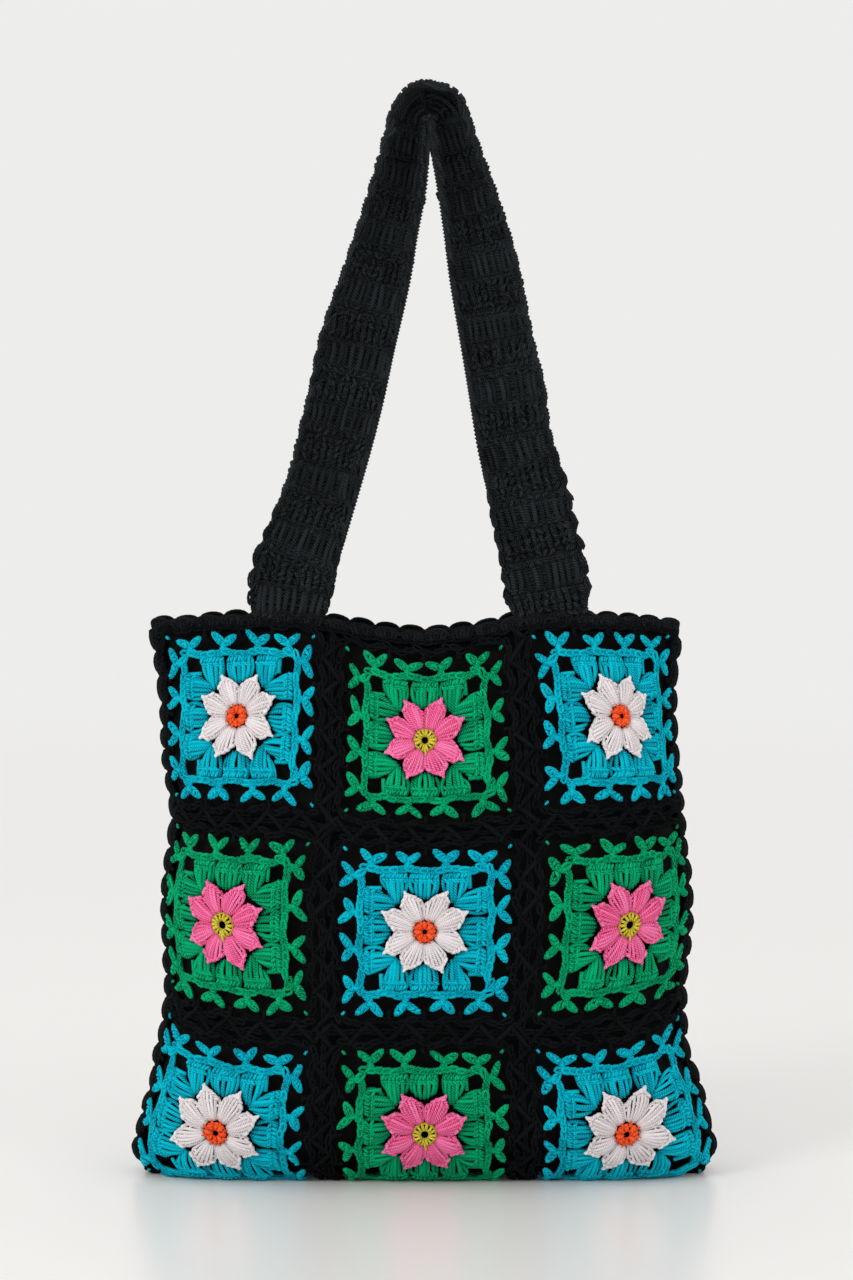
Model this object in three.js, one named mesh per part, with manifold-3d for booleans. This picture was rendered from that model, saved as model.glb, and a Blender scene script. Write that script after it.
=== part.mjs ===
import * as THREE from "three";
import Module from "manifold-3d";

// Crochet tote bag of granny squares. It stands on its base, filled out, with both handles drawn up to one peak.
// Millimetres, +Z up, the front towards -Y. The origin is on the floor, under the middle of the bottom seam.

// The cloth, measured flat
const squarePitch = 125; // from one flower to the next
const squaresAcross = 3;
const squaresUp = 3;
const squareSide = 107.4; // a coloured square with its open outer round
const topBand = 8; // black work between the top row of squares and the rim's edge, in the middle
const topBandDrawn = 7; // how much of it the side columns lack
const clothThickness = 3;
const fit = 0.35; // between neighbours
const joinGap = 0.8; // between a square and the black work round it

// The form it stands in
const bodyHeight = 338; // floor to the rim's edge
const bodyHalfWidth = 152; // inside the cloth at the waist
const bodyHalfDepth = 69;
const cornerPower = 3.2; // how square the floor plan is
const waistPower = 2; // an ellipse from a little above the floor
const waistHeight = 80;
const formSteps = 72; // levels that the form is worked out at
const floorCrowding = 1.5; // how much closer together they are near the floor
const planSteps = 240; // points along a quarter of one level
const searchRounds = 40; // halvings when a place is looked for

// Square, flower and flower centre
const cornerHoleFrom = 27; // from the square's middle
const cornerHoleSize = 7;
const petals = 8;
const petalTip = 28;
const petalShoulder = 24;
const petalParting = 15.5;
const flowerThickness = 2.4;
const flowerLift = 0.8; // above the ground
const centreOuter = 7.6;
const centreBore = 1.6;
const centreThickness = 3.2;
const centreSides = 6;

// Lining, black and sewn in under the rim, seen through every opening of the work
const liningThickness = 1;
const liningSlack = 6.5; // how far it hangs clear of the cloth away from its seams
const liningDrape = 0.035; // share of its height over which it comes clear

// Seam, rim and handles
const seamWidth = 5;
const seamProud = 6; // out from the inside of the cloth
const seamGrip = 0.5; // how far the cloth of both faces runs into it
const seamRise = 3.6; // height of the bottom seam
const seamTuck = 0.8; // how far out the seam reaches at the bottom corners, as a share of seamProud
const seamSideSteps = 14;
const seamBottomSteps = 5;
const rimDepth = 6.5;
const rimThickness = 3.4;
const scallopHeight = 3;
const scallopsAcross = 22;
const strapWidth = 48;
const strapThickness = 3.2;
const strapCentre = 79; // sideways from the middle to a strap's middle at the rim
const strapShift = -3; // both straps sit a little to the left
const handleDrop = 316; // rim to the handles' peak
const peakGap = 1.6; // between a handle's two strands under the peak
const handleSpread = 0.05; // how far the back handle stands outside the front one, half way up

const panelHalf = (squaresAcross * squarePitch) / 2;
const panelRise = squaresUp * squarePitch + topBand;

// Depth of the filled bag in its middle, from the floor to the rim
const profile = [
  { height: 0.0, depth: 0.38 },
  { height: 0.01, depth: 0.465 },
  { height: 0.029, depth: 0.556 },
  { height: 0.051, depth: 0.648 },
  { height: 0.084, depth: 0.76 },
  { height: 0.126, depth: 0.845 },
  { height: 0.17, depth: 0.9 },
  { height: 0.26, depth: 0.97 },
  { height: 0.385, depth: 1.0 },
  { height: 0.5, depth: 0.98 },
  { height: 0.65, depth: 0.873 },
  { height: 0.8, depth: 0.7 },
  { height: 0.917, depth: 0.5 },
  { height: 1.0, depth: 0.34 },
];

// The two side edges, with the bottom corners pulled out and the top left corner standing off
const sides = [
  { height: 0.0, left: 1.095, right: 1.095 },
  { height: 0.038, left: 1.125, right: 1.125 },
  { height: 0.09, left: 1.1, right: 1.1 },
  { height: 0.145, left: 1.066, right: 1.072 },
  { height: 0.225, left: 1.033, right: 1.013 },
  { height: 0.314, left: 1.0, right: 1.0 },
  { height: 0.385, left: 1.0, right: 1.013 },
  { height: 0.49, left: 1.013, right: 1.026 },
  { height: 0.633, left: 0.974, right: 0.993 },
  { height: 0.74, left: 1.0, right: 0.974 },
  { height: 0.846, left: 1.013, right: 0.96 },
  { height: 0.947, left: 1.04, right: 0.974 },
  { height: 1.0, left: 1.07, right: 0.993 },
];

// The rim's sag between the straps, as a share of the body's height
const rimLine = [
  { across: 0.0, lift: -0.028 },
  { across: 0.2, lift: -0.018 },
  { across: 0.43, lift: 0.004 },
  { across: 0.7, lift: 0.001 },
  { across: 1.0, lift: -0.009 },
];

// How the work is drawn off its even grid, in squares: up in the middle column, to the right in the outer ones
const drawn = [
  { rows: 0.0, rise: 0.0, left: 0.0, right: 0.0 },
  { rows: 0.5, rise: 0.084, left: 0.04, right: -0.076 },
  { rows: 1.5, rise: 0.084, left: 0.0, right: 0.0 },
  { rows: 2.5, rise: 0.0, left: 0.015, right: 0.088 },
  { rows: 3.0, rise: 0.0, left: 0.0, right: 0.04 },
];

// A handle's strands: middle lines as shares of strapCentre, seen widths as shares of strapWidth
const strands = [
  { rise: 0.073, left: -0.99, right: 0.9, leftWidth: 0.98, rightWidth: 0.98 },
  { rise: 0.158, left: -0.87, right: 0.826, leftWidth: 0.87, rightWidth: 0.95 },
  { rise: 0.244, left: -0.754, right: 0.748, leftWidth: 0.8, rightWidth: 0.9 },
  { rise: 0.332, left: -0.658, right: 0.656, leftWidth: 0.82, rightWidth: 0.82 },
  { rise: 0.421, left: -0.57, right: 0.604, leftWidth: 0.83, rightWidth: 0.84 },
  { rise: 0.513, left: -0.494, right: 0.53, leftWidth: 0.84, rightWidth: 0.78 },
  { rise: 0.63, left: -0.361, right: 0.446, leftWidth: 0.76, rightWidth: 0.79 },
  { rise: 0.718, left: -0.273, right: 0.377, leftWidth: 0.64, rightWidth: 0.7 },
  { rise: 0.807, left: -0.185, right: 0.29, leftWidth: 0.57, rightWidth: 0.57 },
  { rise: 0.873, left: -0.143, right: 0.224, leftWidth: 0.51, rightWidth: 0.49 },
];
const peakWidth = 0.48; // seen width of a strand at the peak, as a share of strapWidth
const peakAcross = 0.034; // the peak's middle, as a share of strapCentre
const peakShare = 0.9; // share of the drop over which the two handles lean together
const peakSteps = 6;
const bandSteps = 4; // flats across a strap
const nearlyFlat = 0.999; // the widest that a curled strap looks, as a share of its width
const leastTurn = 0.01; // and the angle that it then turns through

const materials = {
  blue: new THREE.MeshStandardMaterial({ color: 0x00a5be, roughness: 0.85, metalness: 0 }),
  green: new THREE.MeshStandardMaterial({ color: 0x009a5c, roughness: 0.85, metalness: 0 }),
  white: new THREE.MeshStandardMaterial({ color: 0xe8e2e2, roughness: 0.85, metalness: 0 }),
  pink: new THREE.MeshStandardMaterial({ color: 0xf0629f, roughness: 0.85, metalness: 0 }),
  orange: new THREE.MeshStandardMaterial({ color: 0xff4a1c, roughness: 0.85, metalness: 0 }),
  yellow: new THREE.MeshStandardMaterial({ color: 0xcfc22c, roughness: 0.85, metalness: 0 }),
  black: new THREE.MeshStandardMaterial({ color: 0x151819, roughness: 0.9, metalness: 0 }),
  lining: new THREE.MeshStandardMaterial({ color: 0x08090b, roughness: 0.95, metalness: 0 }),
};

const bag = new THREE.Group();
const solidKit = await Module();
solidKit.setup();

function mix(from, to, share) {
  return from + (to - from) * share;
}

function easeShare(value) {
  const t = Math.min(Math.max(value, 0), 1);
  return t * t * (3 - 2 * t);
}

// A smooth curve through one column of a table.
function alongTable(table, key, column, at) {
  const last = table.length - 1;
  const x = Math.min(Math.max(at, table[0][key]), table[last][key]);
  let i = 0;
  while (i < last - 1 && x > table[i + 1][key]) i++;
  const slope = (k) => {
    const before = table[Math.max(k - 1, 0)];
    const after = table[Math.min(k + 1, last)];
    return (after[column] - before[column]) / (after[key] - before[key]);
  };
  const width = table[i + 1][key] - table[i][key];
  const t = (x - table[i][key]) / width;
  const rise = easeShare(t);
  const start = t * (1 - t) * (1 - t) * width * slope(i);
  const end = -t * t * (1 - t) * width * slope(i + 1);
  return mix(table[i][column], table[i + 1][column], rise) + start + end;
}

// Quarter of a rounded floor plan, walked by its length from the middle of the front to the side.
function quarterPlan(halfWidth, halfDepth, power) {
  const points = [{ across: 0, depth: 1, way: 0 }];
  for (let i = 1; i <= planSteps; i++) {
    const angle = ((i / planSteps) * Math.PI) / 2;
    const across = Math.pow(Math.sin(angle), 2 / power);
    const depth = Math.pow(Math.max(Math.cos(angle), 0), 2 / power);
    const before = points[i - 1];
    const step = Math.hypot((across - before.across) * halfWidth, (depth - before.depth) * halfDepth);
    points.push({ across, depth, way: before.way + step });
  }
  const whole = points[planSteps].way;
  return points.map((p) => ({ across: p.across, depth: p.depth, way: p.way / whole }));
}

// The form level by level, closer together near the floor, each with its own floor plan.
const levels = Array.from({ length: formSteps + 1 }, (_, i) => {
  const height = Math.pow(i / formSteps, floorCrowding);
  const left = bodyHalfWidth * alongTable(sides, "height", "left", height);
  const right = bodyHalfWidth * alongTable(sides, "height", "right", height);
  const halfDepth = bodyHalfDepth * alongTable(profile, "height", "depth", height);
  const power = mix(cornerPower, waistPower, easeShare((height * bodyHeight) / waistHeight));
  return { height, left, right, halfDepth, plan: quarterPlan((left + right) / 2, halfDepth, power) };
});

function planAt(plan, share) {
  const i = Math.max(plan.findIndex((point) => point.way >= share), 1);
  const t = (share - plan[i - 1].way) / (plan[i].way - plan[i - 1].way);
  return {
    across: mix(plan[i - 1].across, plan[i].across, t),
    depth: mix(plan[i - 1].depth, plan[i].depth, t),
  };
}

function rimHeight(share) {
  return bodyHeight * (1 + alongTable(rimLine, "across", "lift", Math.abs(share)));
}

// Length of the cloth from the bottom seam to the rim's edge.
function clothRise(share) {
  return panelRise - topBandDrawn * easeShare((Math.abs(share) * squaresAcross) / 2);
}

// Length of the cloth up to the work under the rim edging.
function rimFoot(share) {
  return clothRise(share) - rimDepth - joinGap;
}

// One line of the cloth from the bottom seam along the floor and up the wall, with its length so far.
const lineCache = new Map();
function clothLine(share) {
  const key = share.toFixed(7);
  if (lineCache.has(key)) return lineCache.get(key);
  const top = rimHeight(share);
  const line = [];
  for (const level of levels) {
    const spot = planAt(level.plan, Math.min(Math.abs(share), 1));
    const x = spot.across * (share < 0 ? -level.left : level.right);
    const depth = spot.depth * level.halfDepth;
    const z = mix(clothThickness, top, level.height);
    if (!line.length) line.push({ x, depth: 0, z, way: 0 });
    const before = line[line.length - 1];
    line.push({ x, depth, z, way: before.way + Math.hypot(depth - before.depth, z - before.z) });
  }
  lineCache.set(key, line);
  return line;
}

// Where the work is drawn to, from a place on its even grid.
function drawnPlace(share, up) {
  const rows = up / squarePitch;
  const columns = (Math.abs(share) * squaresAcross) / 2;
  const outer = (squaresAcross / 2 - columns) / (squaresAcross / 2 - 1);
  const sideways = alongTable(drawn, "rows", share < 0 ? "left" : "right", rows) * Math.min(columns, outer);
  const rise = alongTable(drawn, "rows", "rise", rows) * (1 - easeShare(columns));
  return { share: share + (sideways * squarePitch) / panelHalf, up: up + rise * squarePitch };
}

// Inside of the front cloth at a place given along the cloth: across from the middle, up from the bottom seam.
function clothPoint(across, up) {
  const even = Math.min(Math.max(across / panelHalf, -1), 1);
  const place = drawnPlace(even, up);
  const line = clothLine(place.share);
  const whole = line[line.length - 1].way;
  const way = (place.up / clothRise(even)) * whole;
  let i = 1;
  while (i < line.length - 1 && line[i].way < way) i++;
  const a = line[i - 1];
  const b = line[i];
  const t = b.way > a.way ? (way - a.way) / (b.way - a.way) : 0;
  return new THREE.Vector3(mix(a.x, b.x, t), -mix(a.depth, b.depth, t), mix(a.z, b.z, t));
}

// How far across the cloth reaches at one height before it meets the seam.
function seamEdge(up, side) {
  const clear = seamWidth / 2 - 2 * seamGrip;
  let near = panelHalf / 2;
  let far = panelHalf;
  for (let i = 0; i < searchRounds; i++) {
    const middle = (near + far) / 2;
    if (-clothPoint(side * middle, up).y > clear) near = middle;
    else far = middle;
  }
  return near;
}

// A point that stands out from the inside of the cloth; the back is the front's mirror image.
function onCloth(across, up, out, isBack) {
  const reach = clothThickness / 2;
  const left = Math.max(across - reach, -panelHalf);
  const right = Math.min(across + reach, panelHalf);
  const alongCloth = clothPoint(right, up).sub(clothPoint(left, up));
  const upCloth = clothPoint(across, up + reach).sub(clothPoint(across, Math.max(up - reach, 0)));
  const outward = alongCloth.cross(upCloth).normalize();
  const point = clothPoint(across, up).addScaledVector(outward, out);
  if (isBack) point.y = -point.y;
  return point;
}

function addGeometry(name, material, geometry) {
  geometry.computeVertexNormals();
  const mesh = new THREE.Mesh(geometry, material);
  mesh.name = name;
  bag.add(mesh);
}

// Three corners for each triangle of a surface's faces; a mirrored surface has its faces turned.
function cornersOf({ faces, isMirrored }) {
  const corners = [];
  for (const face of faces) {
    const turned = isMirrored ? [...face].reverse() : face;
    for (let k = 1; k < turned.length - 1; k++) corners.push(turned[0], turned[k], turned[k + 1]);
  }
  return corners;
}

// Closed surface of points and faces as a mesh.
function addMesh(name, material, surface) {
  const geometry = new THREE.BufferGeometry();
  const places = cornersOf(surface).flatMap((index) => surface.points[index].toArray());
  geometry.setAttribute("position", new THREE.Float32BufferAttribute(places, 3));
  addGeometry(name, material, geometry);
}

// Closed surfaces that run into one another, joined into one body.
function addJoined(name, material, surfaces) {
  const solids = surfaces.map((surface) => {
    const vertProperties = Float32Array.from(surface.points.flatMap((point) => point.toArray()));
    const triVerts = Uint32Array.from(cornersOf(surface));
    return new solidKit.Manifold(new solidKit.Mesh({ numProp: 3, vertProperties, triVerts }));
  });
  const joined = solidKit.Manifold.union(solids).getMesh();
  const geometry = new THREE.BufferGeometry();
  geometry.setAttribute("position", new THREE.Float32BufferAttribute(joined.vertProperties, 3));
  geometry.setIndex(new THREE.Uint32BufferAttribute(joined.triVerts, 1));
  addGeometry(name, material, geometry.toNonIndexed());
}

// Curved plate over a grid of lines, open where isOpen says so.
function curvedPlate(acrossLines, upLines, isOpen, pointAt, isBack) {
  const columns = acrossLines.length;
  const rows = upLines.length;
  const points = [];
  for (const layer of [0, 1]) {
    for (const up of upLines) {
      for (const across of acrossLines) points.push(pointAt(across, up, layer));
    }
  }
  const index = (column, row, layer) => layer * rows * columns + row * columns + column;
  const isSolid = (column, row) => {
    if (column < 0 || row < 0 || column > columns - 2 || row > rows - 2) return false;
    return !isOpen(
      (acrossLines[column] + acrossLines[column + 1]) / 2,
      (upLines[row] + upLines[row + 1]) / 2,
    );
  };
  const faces = [];
  for (let row = 0; row < rows - 1; row++) {
    for (let column = 0; column < columns - 1; column++) {
      if (!isSolid(column, row)) continue;
      const ring = [
        [column, row],
        [column + 1, row],
        [column + 1, row + 1],
        [column, row + 1],
      ];
      // Both layers are cut along the same diagonal.
      faces.push([0, 1, 2, 3].map((k) => index(...ring[k], 1)));
      faces.push([0, 3, 2, 1].map((k) => index(...ring[k], 0)));
      const neighbours = [
        [column, row - 1],
        [column + 1, row],
        [column, row + 1],
        [column - 1, row],
      ];
      neighbours.forEach(([c, r], k) => {
        if (isSolid(c, r)) return;
        const from = ring[k];
        const to = ring[(k + 1) % 4];
        faces.push([index(...from, 0), index(...to, 0), index(...to, 1), index(...from, 1)]);
      });
    }
  }
  return { points, faces, isMirrored: isBack };
}

// Closed tube of rings: each ring has the same number of points, and flat ends unless it is a loop.
function ringTube(rings, isLoop, isMirrored) {
  const size = rings[0].length;
  const faces = [];
  const count = isLoop ? rings.length : rings.length - 1;
  for (let i = 0; i < count; i++) {
    const next = (i + 1) % rings.length;
    for (let k = 0; k < size; k++) {
      const after = (k + 1) % size;
      faces.push([i * size + k, i * size + after, next * size + after, next * size + k]);
    }
  }
  if (!isLoop) {
    const last = (rings.length - 1) * size;
    for (let k = 0; k < size / 2 - 1; k++) {
      faces.push([k, size - 1 - k, size - 2 - k, k + 1]);
      faces.push([last + k, last + k + 1, last + size - 2 - k, last + size - 1 - k]);
    }
  }
  return { points: rings.flat(), faces, isMirrored };
}

// Lines of one square's grid from its middle; the bottom row turns under the base and has more of them.
function motifLines(half, isBottomRow) {
  const holeTo = cornerHoleFrom + cornerHoleSize;
  const lines = [-half, -holeTo, -cornerHoleFrom, 0, cornerHoleFrom, holeTo, half];
  const foldLines = isBottomRow ? [-(half + holeTo) / 2, -cornerHoleFrom / 2] : [];
  return [...lines, ...foldLines].sort((a, b) => a - b);
}

// Ground of one square, with its four corner holes.
function addSquare(name, material, middle, isBottomRow, isBack) {
  const half = squareSide / 2;
  const holeTo = cornerHoleFrom + cornerHoleSize;
  const isInHole = (value) => Math.abs(value) > cornerHoleFrom && Math.abs(value) < holeTo;
  const isOpen = (across, up) => isInHole(across) && isInHole(up);
  const pointAt = (across, up, layer) =>
    onCloth(middle.across + across, middle.up + up, layer * clothThickness, isBack);
  const upLines = motifLines(half, isBottomRow);
  addMesh(name, material, curvedPlate(motifLines(half, false), upLines, isOpen, pointAt, isBack));
}

// Flat ring with a shaped edge, laid on the cloth: outer and inner outlines as angle and radius.
function addRosette(name, material, middle, outer, inner, low, high, isBack) {
  const place = (spot, out) =>
    onCloth(
      middle.across + spot.radius * Math.sin(spot.angle),
      middle.up + spot.radius * Math.cos(spot.angle),
      out,
      isBack,
    );
  const points = [
    ...outer.map((spot) => place(spot, low)),
    ...outer.map((spot) => place(spot, high)),
    ...inner.map((spot) => place(spot, low)),
    ...inner.map((spot) => place(spot, high)),
  ];
  const n = outer.length;
  const m = inner.length;
  const perInner = n / m;
  const faces = [];
  for (let i = 0; i < n; i++) {
    const next = (i + 1) % n;
    faces.push([i, n + i, n + next, next]);
    const k = Math.floor(i / perInner);
    faces.push([2 * n + m + k, n + next, n + i]);
    faces.push([2 * n + k, i, next]);
    if ((i + 1) % perInner === 0) {
      const after = (k + 1) % m;
      faces.push([2 * n + m + k, 2 * n + m + after, n + next]);
      faces.push([2 * n + k, next, 2 * n + after]);
    }
  }
  for (let k = 0; k < m; k++) {
    const after = (k + 1) % m;
    faces.push([2 * n + k, 2 * n + after, 2 * n + m + after, 2 * n + m + k]);
  }
  addMesh(name, material, { points, faces, isMirrored: isBack });
}

// One petal's edge from its parting over the shoulder, the tip and the other shoulder, as shares of its angle.
const petalEdge = [
  { turn: -0.5, radius: petalParting },
  { turn: -0.32, radius: petalShoulder },
  { turn: 0.06, radius: petalTip },
  { turn: 0.32, radius: petalShoulder },
];

function addFlower(name, material, middle, isBack) {
  const step = (2 * Math.PI) / petals;
  const outer = [];
  const inner = [];
  for (let petal = 0; petal < petals; petal++) {
    for (const spot of petalEdge) {
      outer.push({ angle: (petal + 0.5 + spot.turn) * step, radius: spot.radius });
    }
    inner.push({ angle: petal * step, radius: (centreOuter + fit) / Math.cos(step / 2) });
  }
  const low = clothThickness + flowerLift;
  addRosette(name, material, middle, outer, inner, low, low + flowerThickness, isBack);
}

function addCentre(name, material, middle, isBack) {
  const outline = (radius) =>
    Array.from({ length: centreSides }, (_, k) => ({ angle: (k * 2 * Math.PI) / centreSides, radius }));
  const low = clothThickness + flowerLift;
  addRosette(
    name,
    material,
    middle,
    outline(centreOuter),
    outline(centreBore),
    low,
    low + centreThickness,
    isBack,
  );
}

// Black work between the squares of one face, with a window for each of them.
function netPlate(isBack) {
  const half = squareSide / 2 + joinGap;
  const corner = cornerHoleFrom + cornerHoleSize;
  const plainLines = motifLines(half, false).filter((line) => Math.abs(line) !== corner);
  const columns = Array.from({ length: squaresAcross }, (_, k) => (k + 0.5) * squarePitch - panelHalf);
  const rows = Array.from({ length: squaresUp }, (_, k) => (k + 0.5) * squarePitch);
  // The cloth turns quickly towards the seams, so it has one more line there.
  const turn = panelHalf - squarePitch / 2 + corner;
  const columnLines = columns.flatMap((middle) => plainLines.map((line) => middle + line));
  const acrossLines = [-panelHalf, ...columnLines, -turn, turn, panelHalf].sort((a, b) => a - b);
  const rowLines = rows.flatMap((middle, row) => {
    const lines = row === 0 ? motifLines(half, true).filter((line) => line !== corner) : plainLines;
    return lines.map((line) => middle + line);
  });
  const upLines = [seamWidth / 2 - seamGrip, ...rowLines, panelRise];
  const isOpen = (across, up) =>
    columns.some((middle) => Math.abs(across - middle) < half) &&
    rows.some((middle) => Math.abs(up - middle) < half);
  const pointAt = (across, up, layer) => {
    const height = Math.min(up, rimFoot(across / panelHalf));
    const isEdge = Math.abs(across) === panelHalf;
    const reach = isEdge ? seamEdge(height, Math.sign(across)) : Math.abs(across);
    return onCloth(Math.sign(across) * reach, height, layer * clothThickness, isBack);
  };
  return curvedPlate(acrossLines, upLines, isOpen, pointAt, isBack);
}

// Lines that the lining bends at: across as shares of half a panel, up as shares of its height.
const liningAcross = [0, 0.22, 0.44, 0.64, 0.8, 0.94, 1];
const liningUp = [0, 0.032, 0.06, 0.13, 0.25, 0.42, 0.62, 0.8, 0.91, 1];

// Pouch inside the cloth, held at the rim and the bottom seam and a little slack between them.
function addLining() {
  const acrossShares = [...liningAcross.slice(1).map((share) => -share).reverse(), ...liningAcross];
  const skin = (depth, isBack) =>
    liningUp.map((share) =>
      acrossShares.map((acrossShare) => {
        const across = acrossShare * panelHalf;
        const up = share * rimFoot(acrossShare);
        const slack = mix(joinGap, liningSlack, easeShare(Math.min(share, 1 - share) / liningDrape));
        const point = onCloth(across, up, -(slack + depth), isBack);
        const edge = clothPoint(across, up);
        if (Math.abs(acrossShare) === 1) {
          point.set(edge.x - Math.sign(acrossShare) * (slack + depth), 0, Math.max(edge.z, point.z));
        }
        if (share === 0) point.set(point.x, 0, clothThickness + slack + depth);
        return point;
      }),
    );
  const size = acrossShares.length;
  const count = size * liningUp.length;
  const points = [];
  const faces = [];
  const addSkin = (rows, isTurned) => {
    const first = points.length;
    points.push(...rows.flat());
    for (let row = 0; row < rows.length - 1; row++) {
      for (let column = 0; column < size - 1; column++) {
        const corner = first + row * size + column;
        const far = corner + size + 1;
        // Both skins are cut along the same diagonal.
        faces.push(isTurned ? [corner, far - 1, far, corner + 1] : [corner, corner + 1, far, far - 1]);
      }
    }
  };
  for (const isBack of [false, true]) {
    const first = points.length;
    addSkin(skin(0, isBack), isBack);
    addSkin(skin(liningThickness, isBack), !isBack);
    const top = first + count - size;
    for (let column = 0; column < size - 1; column++) {
      const face = [top + column, top + column + 1, top + count + column + 1, top + count + column];
      faces.push(isBack ? face.reverse() : face);
    }
  }
  addMesh("lining", materials.lining, { points, faces, isMirrored: false });
}

// Ridge that joins front and back: down one side, along the bottom and up the other side.
function seamRidge() {
  const stations = [];
  const top = rimFoot(1) - fit;
  for (const side of [-1, 1]) {
    const run = [];
    for (let i = 0; i <= seamSideSteps; i++) {
      const up = mix(top, seamRise * 2, i / seamSideSteps);
      const edge = clothPoint(side * panelHalf, up);
      run.push([
        new THREE.Vector2(edge.x, edge.z),
        new THREE.Vector2(edge.x + side * seamProud, edge.z),
      ]);
    }
    const foot = clothPoint(side * panelHalf, 0);
    run.push([
      new THREE.Vector2(foot.x, seamRise),
      new THREE.Vector2(foot.x + side * seamProud * seamTuck, 0),
    ]);
    if (side < 0) {
      stations.push(...run);
      const from = foot.x + seamWidth;
      for (let i = 0; i <= seamBottomSteps; i++) {
        const x = mix(from, -from, i / seamBottomSteps);
        stations.push([new THREE.Vector2(x, seamRise), new THREE.Vector2(x, 0)]);
      }
    } else {
      stations.push(...run.reverse());
    }
  }
  const half = seamWidth / 2;
  const rings = stations.map(([inner, outer]) => [
    new THREE.Vector3(inner.x, -half, inner.y),
    new THREE.Vector3(outer.x, -half, outer.y),
    new THREE.Vector3(outer.x, half, outer.y),
    new THREE.Vector3(inner.x, half, inner.y),
  ]);
  return ringTube(rings, false, false);
}

function strapMiddle(side) {
  return side * strapCentre + strapShift;
}

// Where the rim's edge stands at one sideways place.
function rimAcross(x) {
  let near = -panelHalf;
  let far = panelHalf;
  for (let i = 0; i < searchRounds; i++) {
    const middle = (near + far) / 2;
    if (clothPoint(middle, clothRise(middle / panelHalf)).x < x) near = middle;
    else far = middle;
  }
  return near;
}

// The rim's edge is flat where a strap stands on it and scalloped elsewhere.
function scallopDepth(x, isPeak) {
  const clear = strapWidth / 2 + fit;
  const onStrap = [-1, 1].some((side) => Math.abs(x - strapMiddle(side)) < clear);
  return onStrap || isPeak ? 0 : scallopHeight;
}

function addRim() {
  const rings = [];
  const stations = scallopsAcross * 2;
  for (const isBack of [false, true]) {
    for (let i = 0; i < stations; i++) {
      const share = (isBack ? -1 : 1) * (-1 + (2 * i) / stations);
      const across = share * panelHalf;
      const edge = clothRise(share);
      const top = edge - scallopDepth(clothPoint(across, edge).x, i % 2 === 1);
      const foot = edge - rimDepth;
      rings.push([
        onCloth(across, foot, 0, isBack),
        onCloth(across, foot, rimThickness, isBack),
        onCloth(across, top, rimThickness, isBack),
        onCloth(across, top, 0, isBack),
      ]);
    }
  }
  addMesh("rim_edging", materials.black, ringTube(rings, true, true));
}

// Points across a band of one width whose edges curl towards the front, as (sideways, forward).
function curledBand(seenWidth, thickness) {
  const wanted = Math.min(seenWidth / strapWidth, nearlyFlat);
  let low = leastTurn;
  let high = Math.PI;
  for (let i = 0; i < searchRounds; i++) {
    const angle = (low + high) / 2;
    if (Math.sin(angle) / angle > wanted) low = angle;
    else high = angle;
  }
  const radius = strapWidth / (2 * low);
  const outline = [];
  for (const layer of [-0.5, 0.5]) {
    const reach = radius + layer * thickness;
    for (let i = 0; i <= bandSteps; i++) {
      const share = mix(-1, 1, i / bandSteps);
      const turn = low * (layer < 0 ? share : -share);
      outline.push({ sideways: reach * Math.sin(turn), forward: radius - reach * Math.cos(turn) });
    }
  }
  return outline;
}

// Middle line of one handle over the peak: place, direction outwards and seen width.
function handleStations(isBack) {
  const stations = [];
  const bandHalf = (strapWidth * peakWidth) / 2 + strapThickness / 2;
  const peakRadius = bandHalf + peakGap / 2;
  const peakX = strapCentre * peakAcross;
  const peakZ = bodyHeight + handleDrop - bandHalf - peakRadius;
  const spread = (rise) => (isBack ? 1 + handleSpread * Math.sin(Math.PI * rise) : 1);
  for (const row of strands) {
    stations.push({
      x: strapCentre * row.left * spread(row.rise),
      z: bodyHeight + handleDrop * row.rise,
      width: strapWidth * row.leftWidth,
    });
  }
  for (let i = 0; i <= peakSteps; i++) {
    const angle = Math.PI * (1 - i / peakSteps);
    stations.push({
      x: peakX + peakRadius * Math.cos(angle),
      z: peakZ + peakRadius * Math.sin(angle),
      width: strapWidth * peakWidth,
    });
  }
  for (const row of [...strands].reverse()) {
    stations.push({
      x: strapCentre * row.right * spread(row.rise),
      z: bodyHeight + handleDrop * row.rise,
      width: strapWidth * row.rightWidth,
    });
  }
  stations.forEach((station, i) => {
    const before = stations[Math.max(i - 1, 0)];
    const after = stations[Math.min(i + 1, stations.length - 1)];
    const length = Math.hypot(after.x - before.x, after.z - before.z);
    station.outX = -(after.z - before.z) / length;
    station.outZ = (after.x - before.x) / length;
  });
  return stations;
}

// Band of long posts from the rim over the peak and back to the rim, folding lengthwise on the way up.
function addHandle(name, isBack) {
  const footAcross = rimAcross(strapMiddle(-1));
  const rimFace = onCloth(footAcross, clothRise(footAcross / panelHalf), rimThickness / 2, false);
  const peakFace = strapThickness / 2 + fit;
  const foot = (side) => {
    const flat = curledBand(strapWidth, strapThickness);
    return flat.map((spot) => {
      const across = rimAcross(strapMiddle(side) + side * spot.sideways);
      const up = clothRise(across / panelHalf) + fit;
      return onCloth(across, up, rimThickness / 2 + spot.forward, isBack);
    });
  };
  const rings = [foot(-1)];
  for (const station of handleStations(isBack)) {
    const rise = (station.z - bodyHeight) / handleDrop;
    const face = mix(-rimFace.y, peakFace, Math.min(rise / peakShare, 1));
    const band = curledBand(station.width, strapThickness);
    rings.push(
      band.map((spot) => {
        const y = -(face + spot.forward);
        return new THREE.Vector3(
          station.x + station.outX * spot.sideways,
          isBack ? -y : y,
          station.z + station.outZ * spot.sideways,
        );
      }),
    );
  }
  rings.push(foot(1));
  addMesh(name, materials.black, ringTube(rings, false, !isBack));
}

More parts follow.
